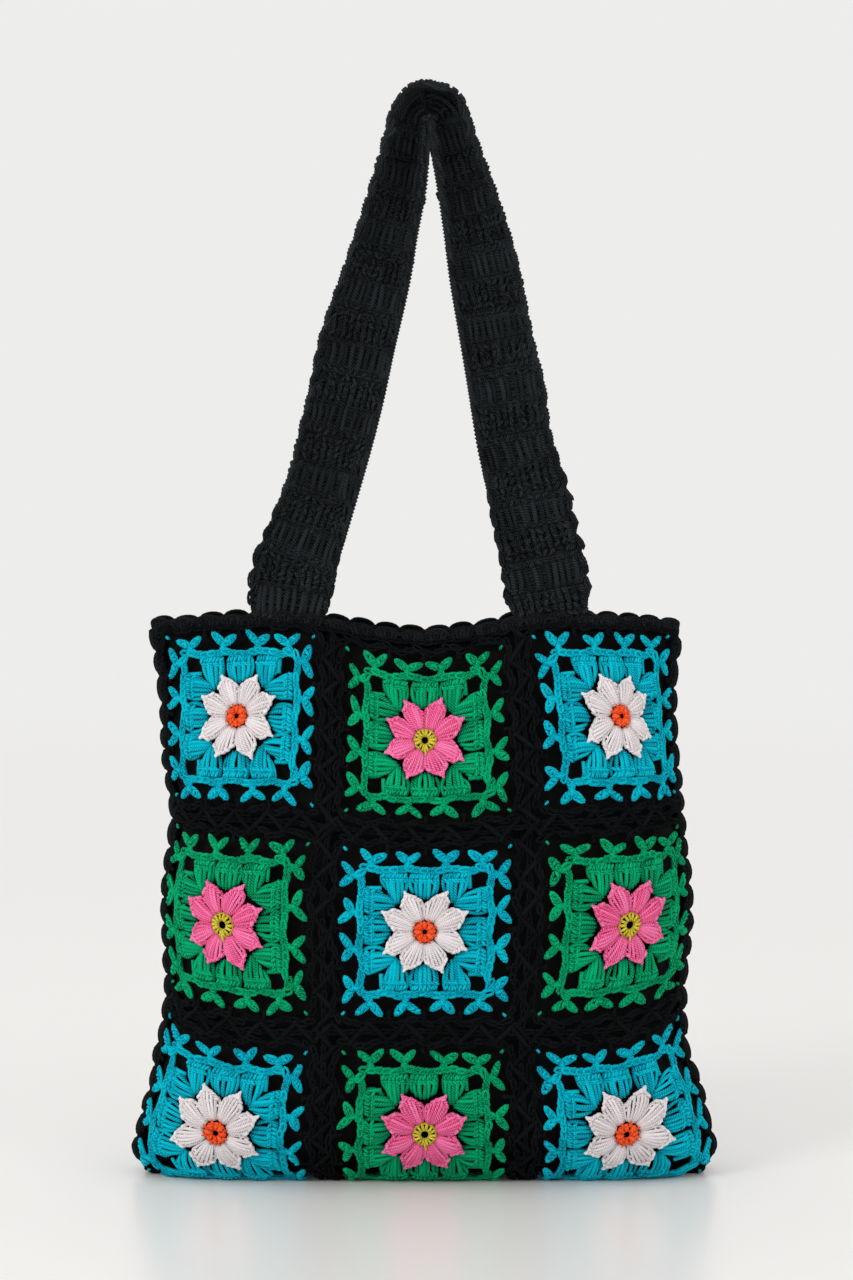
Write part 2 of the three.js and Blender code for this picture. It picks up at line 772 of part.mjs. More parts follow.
for (const isBack of [false, true]) {
  const side = isBack ? "back" : "front";
  for (let row = 1; row <= squaresUp; row++) {
    for (let column = 1; column <= squaresAcross; column++) {
      const middle = {
        across: (column - 0.5) * squarePitch - panelHalf,
        up: (squaresUp - row + 0.5) * squarePitch,
      };
      const place = side + "_r" + row + "c" + column;
      const isBlue = (row + column) % 2 === 0;
      addSquare("square_" + place, isBlue ? materials.blue : materials.green, middle, row === squaresUp, isBack);
      addFlower("flower_" + place, isBlue ? materials.white : materials.pink, middle, isBack);
      addCentre("centre_" + place, isBlue ? materials.orange : materials.yellow, middle, isBack);
    }
  }
  addHandle("handle_" + side, isBack);
}
addJoined("net", materials.black, [netPlate(false), netPlate(true), seamRidge()]);
addLining();
addRim();

export default bag;
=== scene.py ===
# Looks for a crochet tote bag of granny squares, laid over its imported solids.
# Every stitch is a strand of yarn. Stitch patterns are drawn flat, in millimetres across, up and
# out, then laid on the curved cloth, and each piece's strands become one mesh in metres.

import math
import random
from collections import namedtuple

import bmesh
import bpy
import numpy as np
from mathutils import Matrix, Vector


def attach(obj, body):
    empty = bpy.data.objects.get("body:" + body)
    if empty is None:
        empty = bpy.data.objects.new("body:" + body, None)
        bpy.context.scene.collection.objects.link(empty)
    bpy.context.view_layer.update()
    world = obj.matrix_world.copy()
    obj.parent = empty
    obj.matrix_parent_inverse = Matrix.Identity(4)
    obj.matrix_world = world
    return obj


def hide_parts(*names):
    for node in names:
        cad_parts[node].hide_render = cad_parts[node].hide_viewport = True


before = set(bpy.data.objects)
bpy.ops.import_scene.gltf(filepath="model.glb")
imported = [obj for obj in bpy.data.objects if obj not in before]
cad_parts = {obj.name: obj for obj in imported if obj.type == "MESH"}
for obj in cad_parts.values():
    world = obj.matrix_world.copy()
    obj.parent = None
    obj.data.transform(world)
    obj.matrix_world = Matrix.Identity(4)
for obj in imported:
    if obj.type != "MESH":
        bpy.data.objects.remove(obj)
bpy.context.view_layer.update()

MM = 0.001

# The cloth, measured flat, as in the part
SQUARE_PITCH = 125.0
SQUARES = 3
TOP_BAND = 8.0
TOP_BAND_DRAWN = 7.0
CLOTH = 3.0
PANEL_HALF = SQUARES * SQUARE_PITCH / 2
PANEL_RISE = SQUARES * SQUARE_PITCH + TOP_BAND

# The form it stands in, as in the part
BODY_HEIGHT = 338.0
BODY_HALF_WIDTH = 152.0
BODY_HALF_DEPTH = 69.0
CORNER_POWER = 3.2
WAIST_POWER = 2.0
WAIST_HEIGHT = 80.0
SEAM_RISE = 3.6
SEAM_PROUD = 6.0
RIM_DEPTH = 6.5
SCALLOPS_ACROSS = 22
JOIN_GAP = 0.8
LINING = 1.0
LINING_SLACK = 6.5
LINING_DRAPE = 0.035

# Height as a share of the body, depth of the filled bag as a share of its half depth
PROFILE = [
    (0.0, 0.38),
    (0.01, 0.465),
    (0.029, 0.556),
    (0.051, 0.648),
    (0.084, 0.76),
    (0.126, 0.845),
    (0.17, 0.9),
    (0.26, 0.97),
    (0.385, 1.0),
    (0.5, 0.98),
    (0.65, 0.873),
    (0.8, 0.7),
    (0.917, 0.5),
    (1.0, 0.34),
]

# Height, then the left and the right edge as shares of the half width
SIDES = [
    (0.0, 1.095, 1.095),
    (0.038, 1.125, 1.125),
    (0.09, 1.1, 1.1),
    (0.145, 1.066, 1.072),
    (0.225, 1.033, 1.013),
    (0.314, 1.0, 1.0),
    (0.385, 1.0, 1.013),
    (0.49, 1.013, 1.026),
    (0.633, 0.974, 0.993),
    (0.74, 1.0, 0.974),
    (0.846, 1.013, 0.96),
    (0.947, 1.04, 0.974),
    (1.0, 1.07, 0.993),
]

# Share across, lift of the rim as a share of the body's height
RIM_LINE = [(0.0, -0.028), (0.2, -0.018), (0.43, 0.004), (0.7, 0.001), (1.0, -0.009)]

# How the work is drawn off its even grid, in squares: row, then up in the middle column,
# then to the right in the left and in the right column
DRAWN = [
    (0.0, 0.0, 0.0, 0.0),
    (0.5, 0.084, 0.04, -0.076),
    (1.5, 0.084, 0.0, 0.0),
    (2.5, 0.0, 0.015, 0.088),
    (3.0, 0.0, 0.0, 0.04),
]

# The grid on which the cloth's form is kept
CLOTH_COLUMNS = 361
CLOTH_HEIGHTS = 73
CLOTH_ROWS = 262
PLAN_STEPS = 241
PAST_RIM = 3.0  # how far it runs on past the rim, in rows

# The handles, on the same lines as the part's bands
STRAP_WIDTH = 48.0
STRAP_CENTRE = 79.0
STRAP_SHIFT = -3.0
HANDLE_DROP = 316.0
STRAP_THICKNESS = 3.2
RIM_THICKNESS = 3.4
FIT = 0.35
PEAK_GAP = 1.6
HANDLE_SPREAD = 0.05
PEAK_WIDTH = 0.36  # the yarn draws in more than the part's plain band
PEAK_LOWER = 3.0  # room for the yarn's thickness over the peak
FULL_WIDTH = 0.999  # the seen share of a band that lies flat
HANDLE_SINK = 3.0  # how far the lowest stitches go into the rim
FOOT_NARROWING = 0.93
STRAP_SCALLOP = 1.9  # how far the outer edge swells
STRAP_SCALLOP_PITCH = 13.5
SCALLOP_START = 30.0  # its swelling begins over this much of each end
PEAK_ACROSS = 0.034
PEAK_SHARE = 0.9

# Rise, left and right middle lines as shares of STRAP_CENTRE, and their seen widths as shares
# of STRAP_WIDTH
STRANDS = [
    (0.073, -0.99, 0.9, 0.98, 0.98),
    (0.158, -0.87, 0.826, 0.87, 0.95),
    (0.244, -0.754, 0.748, 0.8, 0.9),
    (0.332, -0.658, 0.656, 0.82, 0.82),
    (0.421, -0.57, 0.604, 0.83, 0.84),
    (0.513, -0.494, 0.53, 0.84, 0.78),
    (0.63, -0.361, 0.446, 0.73, 0.76),
    (0.718, -0.273, 0.377, 0.61, 0.66),
    (0.807, -0.185, 0.29, 0.53, 0.53),
    (0.873, -0.14, 0.22, 0.43, 0.43),
]

# Stitches
POST = 2.6  # thickness of a post
LINK_OVERLAP = 1.6  # length of a chain's loop, as a share of its link
RIDGE = 39.0  # the chain round a square, from its middle
RIDGE_CORNER = 5.0
SHELL_MIDDLES = (-19.5, 0.0, 19.5)
POSTS_IN_SHELL = 7
POST_PITCH = 2.75
SHELL_SPREAD = 0.84  # spread of a shell's posts at the ridge, as a share of their pitch
SHELL_CLOSING = 0.8  # and at the flower, where the shells next to the corners close in more
SIDE_SHELL_CLOSING = 0.6
SHELL_ROUNDING = 3.4  # how much shorter its outer posts are
SHELL_TOP = RIDGE - 1.5
SHELL_KNOTS = ((RIDGE - 4.0, 0.9), (RIDGE - 7.2, -0.8))  # rows of knots across it, their slant
FLOWER_REACH = 24.5  # where the shells begin
CORNER_KNOT = 51.0  # the knot in a square's open corner, across and up from its middle
FORKS = (-34.5, -11.5, 11.5, 34.5)  # the forked stitches on each side of a square
FORK_STEM = 5.9
LEAF_LENGTH = 9.0
LEAF_WIDTH = 6.2
PETALS = 8
PETAL_LANES = 7  # strands side by side in a petal
PETAL_ROOT = 7.0
PETAL_CROWN = 24.6
PETAL_FALL = 4.0  # how far its crown rounds off towards its sides
LACE = 56.0  # the black chain round a square, from its middle
LACE_CORNER = 9.0
LACE_POSTS = (-23.0, 0.0, 23.0)
NET_CHAIN = (5.4, 4.6, 1.9)  # link, width and thickness of the chains between squares
BULGE_LOW = 0.55  # the seam's bulges
BULGE_WIDTH = (13.0, 17.5)

# Stitches of the handles
ROW_PITCH = 18.6
POSTS_IN_ROW = 10
POST_DEPTH = 0.9  # how deep a post's raised end lies in the band
GROOVE_DEPTH = 2.4
FOLDS_NEAR_PEAK = 52.0  # the rows run together this near the peak
THREADS_NEAR_PEAK = 34.0  # and the cross threads are closer
THREAD_PITCH = 2.2
PEAK_THREAD_PITCH = 0.9
EDGE_CHAIN_START = 7.0

# Tubes of yarn and their finish
TUBE_SIDES = 4
FACE_CORNERS = 4
PLIES = 3
TWIST_LENGTH = 1.6

# Colour of each yarn, its darker tone that paints shade between the plies and its lighter tone that
# paints highlight on them, and an unusual gloss and sheen
YARNS = {
    "blue_yarn": ((0.0, 0.42, 0.55), (0.0, 0.14, 0.22), (0.0, 0.60, 0.74)),
    "green_yarn": ((0.0, 0.32, 0.12), (0.0, 0.09, 0.035), (0.0, 0.50, 0.21)),
    "white_yarn": ((0.80, 0.735, 0.745), (0.55, 0.49, 0.50), (0.90, 0.85, 0.87)),
    "pink_yarn": ((0.90, 0.115, 0.305), (0.58, 0.035, 0.14), (0.98, 0.27, 0.54)),
    "orange_yarn": ((0.92, 0.08, 0.02), (0.62, 0.035, 0.008), (1.0, 0.16, 0.04)),
    "yellow_yarn": ((0.62, 0.51, 0.035), (0.32, 0.26, 0.012), (0.80, 0.69, 0.09)),
    "black_yarn": (
        (0.003, 0.0035, 0.0045),
        (0.001, 0.0012, 0.0015),
        (0.007, 0.008, 0.009),
        0.05,
        0.0,
    ),
    # The edge's and the strap's black are the net's black yarn painted lighter, the strap most, for
    # the light that falls on them
    "black_yarn_painted_lighter_edge": (
        (0.0042, 0.0054, 0.0064),
        (0.0012, 0.0015, 0.0019),
        (0.013, 0.0155, 0.0165),
        0.07,
        0.0,
    ),
    "black_yarn_painted_lighter_strap": (
        (0.0066, 0.0086, 0.0099),
        (0.001, 0.0014, 0.0019),
        (0.024, 0.029, 0.032),
        0.09,
        0.01,
    ),
}

FACES = (("front", False), ("back", True))

STUDIO = (1.0, 0.995, 0.985)  # colour of the bright studio round the bag
STUDIO_LIGHT = 0.85

Strand = namedtuple("Strand", "points thickness is_loop", defaults=[False])


def ease(value):
    t = np.clip(value, 0.0, 1.0)
    return t * t * (3 - 2 * t)


def mix(low, high, share):
    return low + (high - low) * share


def lane_share(k, count):
    """Place of one of several things side by side, from -1 at the first to 1 at the last."""
    return (k - (count - 1) / 2) / ((count - 1) / 2)


def vary(chance, most):
    """A random amount, up to most either way."""
    return chance.uniform(-most, most)


def circle(count):
    """Angles evenly round a circle."""
    return 2 * math.pi * np.arange(count) / count


def run_lengths(points):
    """Length along a line of points, from its start to each of them."""
    return np.concatenate([[0], np.cumsum(np.linalg.norm(np.diff(points, axis=0), axis=1))])


def along_table(table, column, at):
    """Smooth curve through one column of a table, at an array of places in its first column."""
    keys = np.array([row[0] for row in table])
    values = np.array([row[column] for row in table])
    before = np.maximum(np.arange(len(keys)) - 1, 0)
    after = np.minimum(np.arange(len(keys)) + 1, len(keys) - 1)
    slopes = (values[after] - values[before]) / (keys[after] - keys[before])
    place = np.clip(at, keys[0], keys[-1])
    i = np.clip(np.searchsorted(keys, place) - 1, 0, len(keys) - 2)
    width = keys[i + 1] - keys[i]
    t = (place - keys[i]) / width
    start = t * (1 - t) ** 2 * width * slopes[i]
    end = -t * t * (1 - t) * width * slopes[i + 1]
    return mix(values[i], values[i + 1], ease(t)) + start + end


class Surface:
    """A curved surface kept as a grid, on which flat stitch patterns are laid."""

    def __init__(self, across, up, points, outward=None):
        self.across = across
        self.up = up
        self.points = points
        if outward is None:
            along = np.gradient(points, across, axis=1)
            rising = np.gradient(points, up, axis=0)
            outward = np.cross(along, rising)
            outward = outward / np.linalg.norm(outward, axis=2, keepdims=True)
        self.outward = outward

    def place(self, flat, is_back=False):
        """Flat points (across, up, out) as places in metres; the back mirrors the front."""
        column = np.interp(flat[:, 0], self.across, np.arange(len(self.across)))
        row = np.interp(flat[:, 1], self.up, np.arange(len(self.up)))
        left = np.minimum(column.astype(int), len(self.across) - 2)
        low = np.minimum(row.astype(int), len(self.up) - 2)
        aside = (column - left)[:, None]
        above = (row - low)[:, None]

        def between(grid):
            bottom = mix(grid[low, left], grid[low, left + 1], aside)
            top = mix(grid[low + 1, left], grid[low + 1, left + 1], aside)
            return mix(bottom, top, above)

        placed = between(self.points) + between(self.outward) * flat[:, 2:3]
        if is_back:
            placed[:, 1] *= -1
        return placed * MM


def quarter_plan(half_width, half_depth, power, shares):
    """A quarter of a rounded floor plan, walked from the front's middle to the side."""
    angle = np.linspace(0, math.pi / 2, PLAN_STEPS)
    across = np.sin(angle) ** (2 / power)
    depth = np.maximum(np.cos(angle), 0) ** (2 / power)
    step = np.hypot(np.diff(across) * half_width, np.diff(depth) * half_depth)
    way = np.concatenate([[0], np.cumsum(step)])
    way /= way[-1]
    return np.interp(shares, way, across), np.interp(shares, way, depth)


def rim_height(share):
    return BODY_HEIGHT * (1 + along_table(RIM_LINE, 1, np.abs(share)))


def cloth_rise(share):
    """Length of the cloth from the bottom seam to the rim's edge."""
    return PANEL_RISE - TOP_BAND_DRAWN * ease(np.abs(share) * SQUARES / 2)


def make_cloth():
    """The inside of the front cloth, the same form as the part's."""
    shares = np.linspace(-1, 1, CLOTH_COLUMNS)
    heights = np.linspace(0, 1, CLOTH_HEIGHTS) ** 1.5
    x = []
    depth = []
    z = []
    for height in heights:
        left = BODY_HALF_WIDTH * along_table(SIDES, 1, height)
        right = BODY_HALF_WIDTH * along_table(SIDES, 2, height)
        half_depth = BODY_HALF_DEPTH * along_table(PROFILE, 1, height)
        power = mix(CORNER_POWER, WAIST_POWER, ease(height * BODY_HEIGHT / WAIST_HEIGHT))
        spot, deep = quarter_plan((left + right) / 2, half_depth, power, np.abs(shares))
        x.append(spot * np.where(shares < 0, -left, right))
        depth.append(deep * half_depth)
        z.append(mix(CLOTH, rim_height(shares), height))
    x = np.array([x[0]] + x)
    depth = np.array([depth[0] * 0] + depth)
    z = np.array([z[0]] + z)
    steps = np.hypot(np.diff(depth, axis=0), np.diff(z, axis=0))
    way = np.vstack([np.zeros(len(shares)), np.cumsum(steps, axis=0)])
    whole = way[-1]
    x, depth, z, way = (
        np.vstack([rows, rows[-1] + (rows[-1] - rows[-2]) * PAST_RIM])
        for rows in (x, depth, z, way)
    )
    ups = np.linspace(0, PANEL_RISE + 10, CLOTH_ROWS)
    points = np.zeros((len(ups), len(shares), 3))
    for j, share in enumerate(shares):
        ways = ups / cloth_rise(share) * whole[j]
        points[:, j, 0] = np.interp(ways, way[:, j], x[:, j])
        points[:, j, 1] = -np.interp(ways, way[:, j], depth[:, j])
        points[:, j, 2] = np.interp(ways, way[:, j], z[:, j])
    return draw_cloth(Surface(shares * PANEL_HALF, ups, points))


def draw_cloth(even):
    """The cloth with its work drawn off the even grid, as in the part."""
    across, up = np.meshgrid(even.across, even.up)
    rows = up / SQUARE_PITCH
    columns = np.abs(across) / SQUARE_PITCH
    outer = (SQUARES / 2 - columns) / (SQUARES / 2 - 1)
    sideways = np.where(across < 0, along_table(DRAWN, 2, rows), along_table(DRAWN, 3, rows))
    sideways = sideways * np.minimum(columns, outer)
    rise = along_table(DRAWN, 1, rows) * (1 - ease(columns))
    moved_across = across + sideways * SQUARE_PITCH
    scale = cloth_rise(moved_across / PANEL_HALF) / cloth_rise(across / PANEL_HALF)
    moved_up = (up + rise * SQUARE_PITCH) * scale
    flat = np.column_stack([moved_across.ravel(), moved_up.ravel(), np.zeros(across.size)])
    points = even.place(flat).reshape(across.shape + (3,)) / MM
    return Surface(even.across, even.up, points)


def seam_edge(cloth, side, ups):
    """The line where front and back meet at one side, as (x, z) in millimetres."""
    column = 0 if side < 0 else len(cloth.across) - 1
    x = np.interp(ups, cloth.up, cloth.points[:, column, 0])
    z = np.interp(ups, cloth.up, cloth.points[:, column, 2])
    return x, z


def make_seam_line(cloth):
    """The ridge's ground: down the left side, along the bottom and up the right side."""
    top = float(cloth_rise(1.0)) - RIM_DEPTH
    corner = 14.0
    ups = np.linspace(top, corner, 90)
    places = []
    outward = []
    for side in (-1, 1):
        x, z = seam_edge(cloth, side, ups)
        run = list(zip(x, z))
        ways = [(side * SEAM_PROUD, 0.0)] * len(run)
        end_x, end_z = run[-1]
        turn_steps = 8
        for k in range(1, turn_steps + 1):
            angle = math.pi / 2 * k / turn_steps
            reach = end_z - SEAM_RISE
            turned_x = end_x - side * reach * (1 - math.cos(angle))
            run.append((turned_x, end_z - reach * math.sin(angle)))
            proud = mix(SEAM_PROUD, SEAM_RISE, k / turn_steps)
            ways.append((side * proud * math.cos(angle), -proud * math.sin(angle)))
        if side > 0:
            run.reverse()
            ways.reverse()
        places.append(run)
        outward.append(ways)
    start = places[0][-1][0]
    stop = places[1][0][0]
    floor = [(mix(start, stop, k / 60), SEAM_RISE) for k in range(1, 60)]
    line = np.array(places[0] + floor + places[1])
    ways = np.array(outward[0] + [(0.0, -SEAM_RISE)] * len(floor) + outward[1])
    length = run_lengths(line)
    across = np.array([-6.0, 6.0])
    points = np.zeros((len(line), 2, 3))
    points[:, :, 0] = line[:, :1]
    points[:, :, 1] = across
    points[:, :, 2] = line[:, 1:]
    normals = np.zeros_like(points)
    normals[:, :, 0] = ways[:, :1]
    normals[:, :, 2] = ways[:, 1:]
    return Surface(across, length, points, normals)


def curl_angle(seen_share):
    """Half the angle that a band's section turns through when it looks this much narrower."""
    low = 0.01
    high = math.pi
    for _ in range(40):
        angle = (low + high) / 2
        if math.sin(angle) / angle > min(seen_share, FULL_WIDTH):
            low = angle
        else:
            high = angle
    return low


def strap_middle(side):
    return side * STRAP_CENTRE + STRAP_SHIFT


def handle_line(is_back, rim_face):
    """Middle line of a handle over the peak, as rows of x, z, depth and seen share of its width."""
    band_half = STRAP_WIDTH * PEAK_WIDTH / 2 + STRAP_THICKNESS / 2
    peak_radius = band_half + PEAK_GAP / 2
    peak_z = BODY_HEIGHT + HANDLE_DROP - band_half - peak_radius - PEAK_LOWER
    rows = []
    for side in (1, 2):
        run = [(strap_middle(-1 if side == 1 else 1), BODY_HEIGHT - HANDLE_SINK, FULL_WIDTH)]
        for row in STRANDS:
            spread = 1 + HANDLE_SPREAD * math.sin(math.pi * row[0]) if is_back else 1
            x = STRAP_CENTRE * row[side] * spread
            run.append((x, BODY_HEIGHT + HANDLE_DROP * row[0], row[side + 2]))
        if side == 1:
            rows += run
            for i in range(7):
                angle = math.pi * (1 - i / 6)
                x = STRAP_CENTRE * PEAK_ACROSS + peak_radius * math.cos(angle)
                rows.append((x, peak_z + peak_radius * math.sin(angle), PEAK_WIDTH))
        else:
            rows += run[::-1]
    line = np.array(rows)
    rise = (line[:, 1] - BODY_HEIGHT) / HANDLE_DROP
    face = mix(rim_face, STRAP_THICKNESS / 2 + FIT, np.clip(rise / PEAK_SHARE, 0, 1))
    return np.column_stack([line[:, 0], line[:, 1], face, line[:, 2]])


def smooth_rows(rows, steps):
    """Rows of numbers with smooth steps between them."""
    ahead = np.vstack([rows[:1], rows, rows[-1:]])
    out = []
    for i in range(len(rows) - 1):
        a, b, c, d = ahead[i : i + 4]
        for k in range(steps):
            t = k / steps
            slope_b = (c - a) / 2
            slope_c = (d - b) / 2
            cubic = b * (2 * t**3 - 3 * t**2 + 1) + c * (3 * t**2 - 2 * t**3)
            out.append(cubic + slope_b * (t**3 - 2 * t**2 + t) + slope_c * (t**3 - t**2))
    out.append(rows[-1])
    return np.array(out)


def make_handle_band(cloth, is_back):
    """A band that curls towards the viewer as it rises to the peak and comes down again."""
    on_rim = [strap_middle(-1) * 1.1, PANEL_RISE - 5, RIM_THICKNESS / 2]
    rim_face = -cloth.place(np.array([on_rim]))[0, 1] / MM
    rows = smooth_rows(handle_line(is_back, rim_face), 8)
    middle = rows[:, :2]
    step = np.gradient(middle, axis=0)
    step /= np.linalg.norm(step, axis=1, keepdims=True)
    length = run_lengths(middle)
    half = STRAP_WIDTH / 2
    margin = 3.0
    across = np.linspace(-half - margin, half + margin, 33)
    points = np.zeros((len(rows), len(across), 3))
    outer = np.clip(across / half, 0, 1) ** 2
    for i, row in enumerate(rows):
        end = min(length[i], length[-1] - length[i])
        wave = abs(math.sin(math.pi * length[i] / STRAP_SCALLOP_PITCH)) ** 0.7
        scallop = STRAP_SCALLOP * wave * ease(end / SCALLOP_START)
        angle = curl_angle(row[3])
        radius = half / angle
        turn = angle * across / half
        sideways = radius * np.sin(turn) + scallop * outer
        forward = radius * (1 - np.cos(turn))
        points[i, :, 0] = row[0] - step[i, 1] * sideways
        points[i, :, 1] = -(row[2] + forward)
        points[i, :, 2] = row[1] + step[i, 0] * sideways
    band = Surface(across, length, points)
    band.outward *= -1
    return band


def between(start, end, steps, bow=0.0, lean=0.0):
    """Points from start to end, arched outwards by bow and sideways by lean."""
    start = np.array(start, float)
    way = np.array(end, float) - start
    side = np.array([-way[1], way[0], 0.0]) / max(math.hypot(way[0], way[1]), 1e-6)
    t = np.linspace(0, 1, steps)[:, None]
    arch = np.sin(math.pi * t)
    return start + way * t + side * lean * arch + np.array([0, 0, bow]) * arch


def loop_stitch(start, way, length, width, thickness, low, high, points, swell=0.38):
    """One looped stitch from start to tip, climbing from low to high; swell widens its tip."""
    way = np.array(way, float) / math.hypot(*way)
    side = np.array([-way[1], way[0]])
    turn = circle(points)
    forward = 0.5 - 0.5 * np.cos(turn)
    aside = np.sin(turn) * (1 - abs(swell) / 2 + swell * (forward - 0.5)) * (width - thickness) / 2
    flat = np.array(start)[:2] + forward[:, None] * length * way + aside[:, None] * side
    out = mix(low, high, forward)
    return Strand(np.column_stack([flat, out]), thickness, True)


def resample(path, pitch, is_loop=False):
    """Points at an even pitch along a path, and the direction at each."""
    if is_loop:
        path = np.vstack([path, path[:1]])
    length = run_lengths(path)
    count = max(int(round(length[-1] / pitch)), 1)
    ways = np.arange(count) * length[-1] / count

    def spots(at):
        return np.column_stack([np.interp(at, length, path[:, k]) for k in range(2)])

    return spots(ways), spots(ways + 0.5) - spots(np.maximum(ways - 0.5, 0))


def chain(path, link, width, thickness, low, high, chance, is_loop=False):
    """Chain stitches along a path: loops that lie over one another like scales."""
    spots, ways = resample(path, link, is_loop)
    strands = []
    for spot, way in zip(spots, ways):
        wobble = vary(chance, 0.12)
        turned = (way[0] - way[1] * wobble, way[1] + way[0] * wobble)
        size = chance.uniform(0.92, 1.08)
        loop = (link * LINK_OVERLAP, width * size, thickness, low, high)
        strands.append(loop_stitch(spot, turned, *loop, 8))
    return strands


def chain_core(path):
    """A plain cord under a closed chain."""
    core = path[::3]
    return Strand(np.column_stack([core, np.full(len(core), 1.4)]), 2.4, True)


def knot(middle, angle, length, thickness, out):
    """A short fat stitch, thick in its middle."""
    way = np.array([math.cos(angle), math.sin(angle)]) * length / 2
    points = [
        (middle[0] - way[0], middle[1] - way[1], out - thickness * 0.35),
        (middle[0] - way[0] * 0.4, middle[1] - way[1] * 0.4, out),
        (middle[0] + way[0] * 0.4, middle[1] + way[1] * 0.4, out),
        (middle[0] + way[0], middle[1] + way[1], out - thickness * 0.35),
    ]
    return Strand(np.array(points), thickness * np.array([0.6, 1.0, 1.0, 0.6]))


def moved(strands, middle=(0.0, 0.0), angle=0.0):
    """Strands turned about the flat pattern's origin and then shifted."""
    cos = math.cos(angle)
    sin = math.sin(angle)
    turn = np.array([[cos, sin, 0.0], [-sin, cos, 0.0], [0.0, 0.0, 1.0]])
    shift = np.array([middle[0], middle[1], 0.0])
    return [Strand(s.points @ turn + shift, s.thickness, s.is_loop) for s in strands]


def rippled_square(half, corner, wave, waves):
    """A closed path round a square with rounded corners, which ripples in and out."""
    points = []
    steps = 5
    middle = half - corner
    for k, (sign_x, sign_y) in enumerate(((1, 1), (-1, 1), (-1, -1), (1, -1))):
        start = math.pi / 2 * k
        for i in range(steps + 1):
            angle = start + math.pi / 2 * i / steps
            x = sign_x * middle + corner * math.cos(angle)
            points.append((x, sign_y * middle + corner * math.sin(angle)))
    spots, ways = resample(np.array(points), 2.0, True)
    ways /= np.linalg.norm(ways, axis=1, keepdims=True)
    outwards = np.column_stack([ways[:, 1], -ways[:, 0]])
    ripple = np.cos(np.arange(len(spots)) / len(spots) * 2 * math.pi * waves)
    return spots + outwards * (wave * ripple)[:, None]


def shell(middle, chance):
    """One puffed shell of posts on a square's side, from its ridge in towards the flower."""
    strands = []
    middle += vary(chance, 0.5)
    inner_middle = middle * 0.9
    half = POST_PITCH * (POSTS_IN_SHELL - 1) / 2
    for k in range(POSTS_IN_SHELL):
        offset = (k - (POSTS_IN_SHELL - 1) / 2) * POST_PITCH
        x = middle + offset * SHELL_SPREAD
        is_side = abs(middle) > 1
        inner_x = inner_middle + offset * (SIDE_SHELL_CLOSING if is_side else SHELL_CLOSING)
        if is_side:
            reach = max(abs(inner_x) + 0.6, math.sqrt(FLOWER_REACH**2 - min(inner_x**2, 400.0)))
        else:
            reach = FLOWER_REACH - 3.0
        side = (offset / half) ** 2
        reach += SHELL_ROUNDING * side - 0.8 + vary(chance, 0.6)
        path = between(
            (x + vary(chance, 0.4), SHELL_TOP, 1.3 - 0.9 * side),
            (inner_x, reach, 1.2 - 1.2 * side),
            8,
            bow=2.7 - 1.9 * side + vary(chance, 0.3),
            lean=vary(chance, 0.85) + 1.6 * offset / half,
        )
        strands.append(Strand(path, POST * chance.uniform(0.9, 1.08)))
        for row, slant in SHELL_KNOTS:
            down = (SHELL_TOP - row) / (SHELL_TOP - reach)
            spot = (mix(x, inner_x, down) + vary(chance, 0.4), row)
            strands.append(knot(spot, slant + vary(chance, 0.3), 4.0, 2.1, 3.9 - 1.2 * side))
    return strands


def forked_stitch(place, chance):
    """A stem out of the ridge with two looped leaves."""
    foot = RIDGE + 0.5
    fork = RIDGE + FORK_STEM + vary(chance, 0.6)
    tip = place + vary(chance, 1.2)
    strands = [Strand(between((place, foot, 1.7), (tip, fork + 1.5, 2.4), 4), 3.4)]
    for side in (-1, 1):
        lean = math.radians(chance.uniform(38, 70)) * side
        length = LEAF_LENGTH * chance.uniform(0.86, 1.16)
        width = LEAF_WIDTH * chance.uniform(0.88, 1.25)
        arm = between((place + side * 2.4, foot - 0.6, 1.6), (tip, fork + 0.4, 2.0), 4)
        strands.append(Strand(arm, 2.4))
        way = (math.sin(lean), math.cos(lean))
        start = (tip + side * 0.4, fork - 0.3)
        low = 1.9 + 0.3 * (side > 0)
        strands.append(loop_stitch(start, way, length, width, 2.3, low, low + 0.6, 10, -0.5))
        for share, size in ((0.28, 4.4), (0.52, 4.4), (0.8, 3.4)):
            aside = vary(chance, 0.6)
            spot = (start[0] + way[0] * length * share + aside, start[1] + way[1] * length * share)
            turn = -lean + chance.choice((-0.7, 0.7)) + vary(chance, 0.3)
            strands.append(knot(spot, turn, size, 2.2, low + 1.3 + chance.uniform(-0.2, 0.5)))
    strands.append(knot((tip, fork + 0.3), vary(chance, 0.5), 4.6, 2.5, 2.9))
    return strands


def square_stitches(chance):
    """The ground of one square: twelve shells, the ridge round them and the open round of forks."""
    strands = []
    for quarter in range(4):
        side = []
        for middle in SHELL_MIDDLES:
            side += shell(middle, chance)
        for place in FORKS:
            side += forked_stitch(place + vary(chance, 0.8), chance)
        # A strand that shuts the hole in the corner, and a knot in the open corner outside it
        path = between((RIDGE - 12.5, RIDGE - 3.5, 1.5), (RIDGE - 12.2, RIDGE - 12.4, 1.5), 4)
        side.append(Strand(path, POST))
        spot = (CORNER_KNOT + vary(chance, 1), CORNER_KNOT + vary(chance, 1))
        side.append(knot(spot, 0.8, 3.0, 2.0, 2.0))
        strands += moved(side, angle=math.pi / 2 * quarter)
    path = rippled_square(RIDGE, RIDGE_CORNER, 0.55, 12)
    strands += chain(path, 4.7, 5.8, 2.0, 1.9, 2.8, chance, True)
    strands.append(chain_core(path))
    return strands


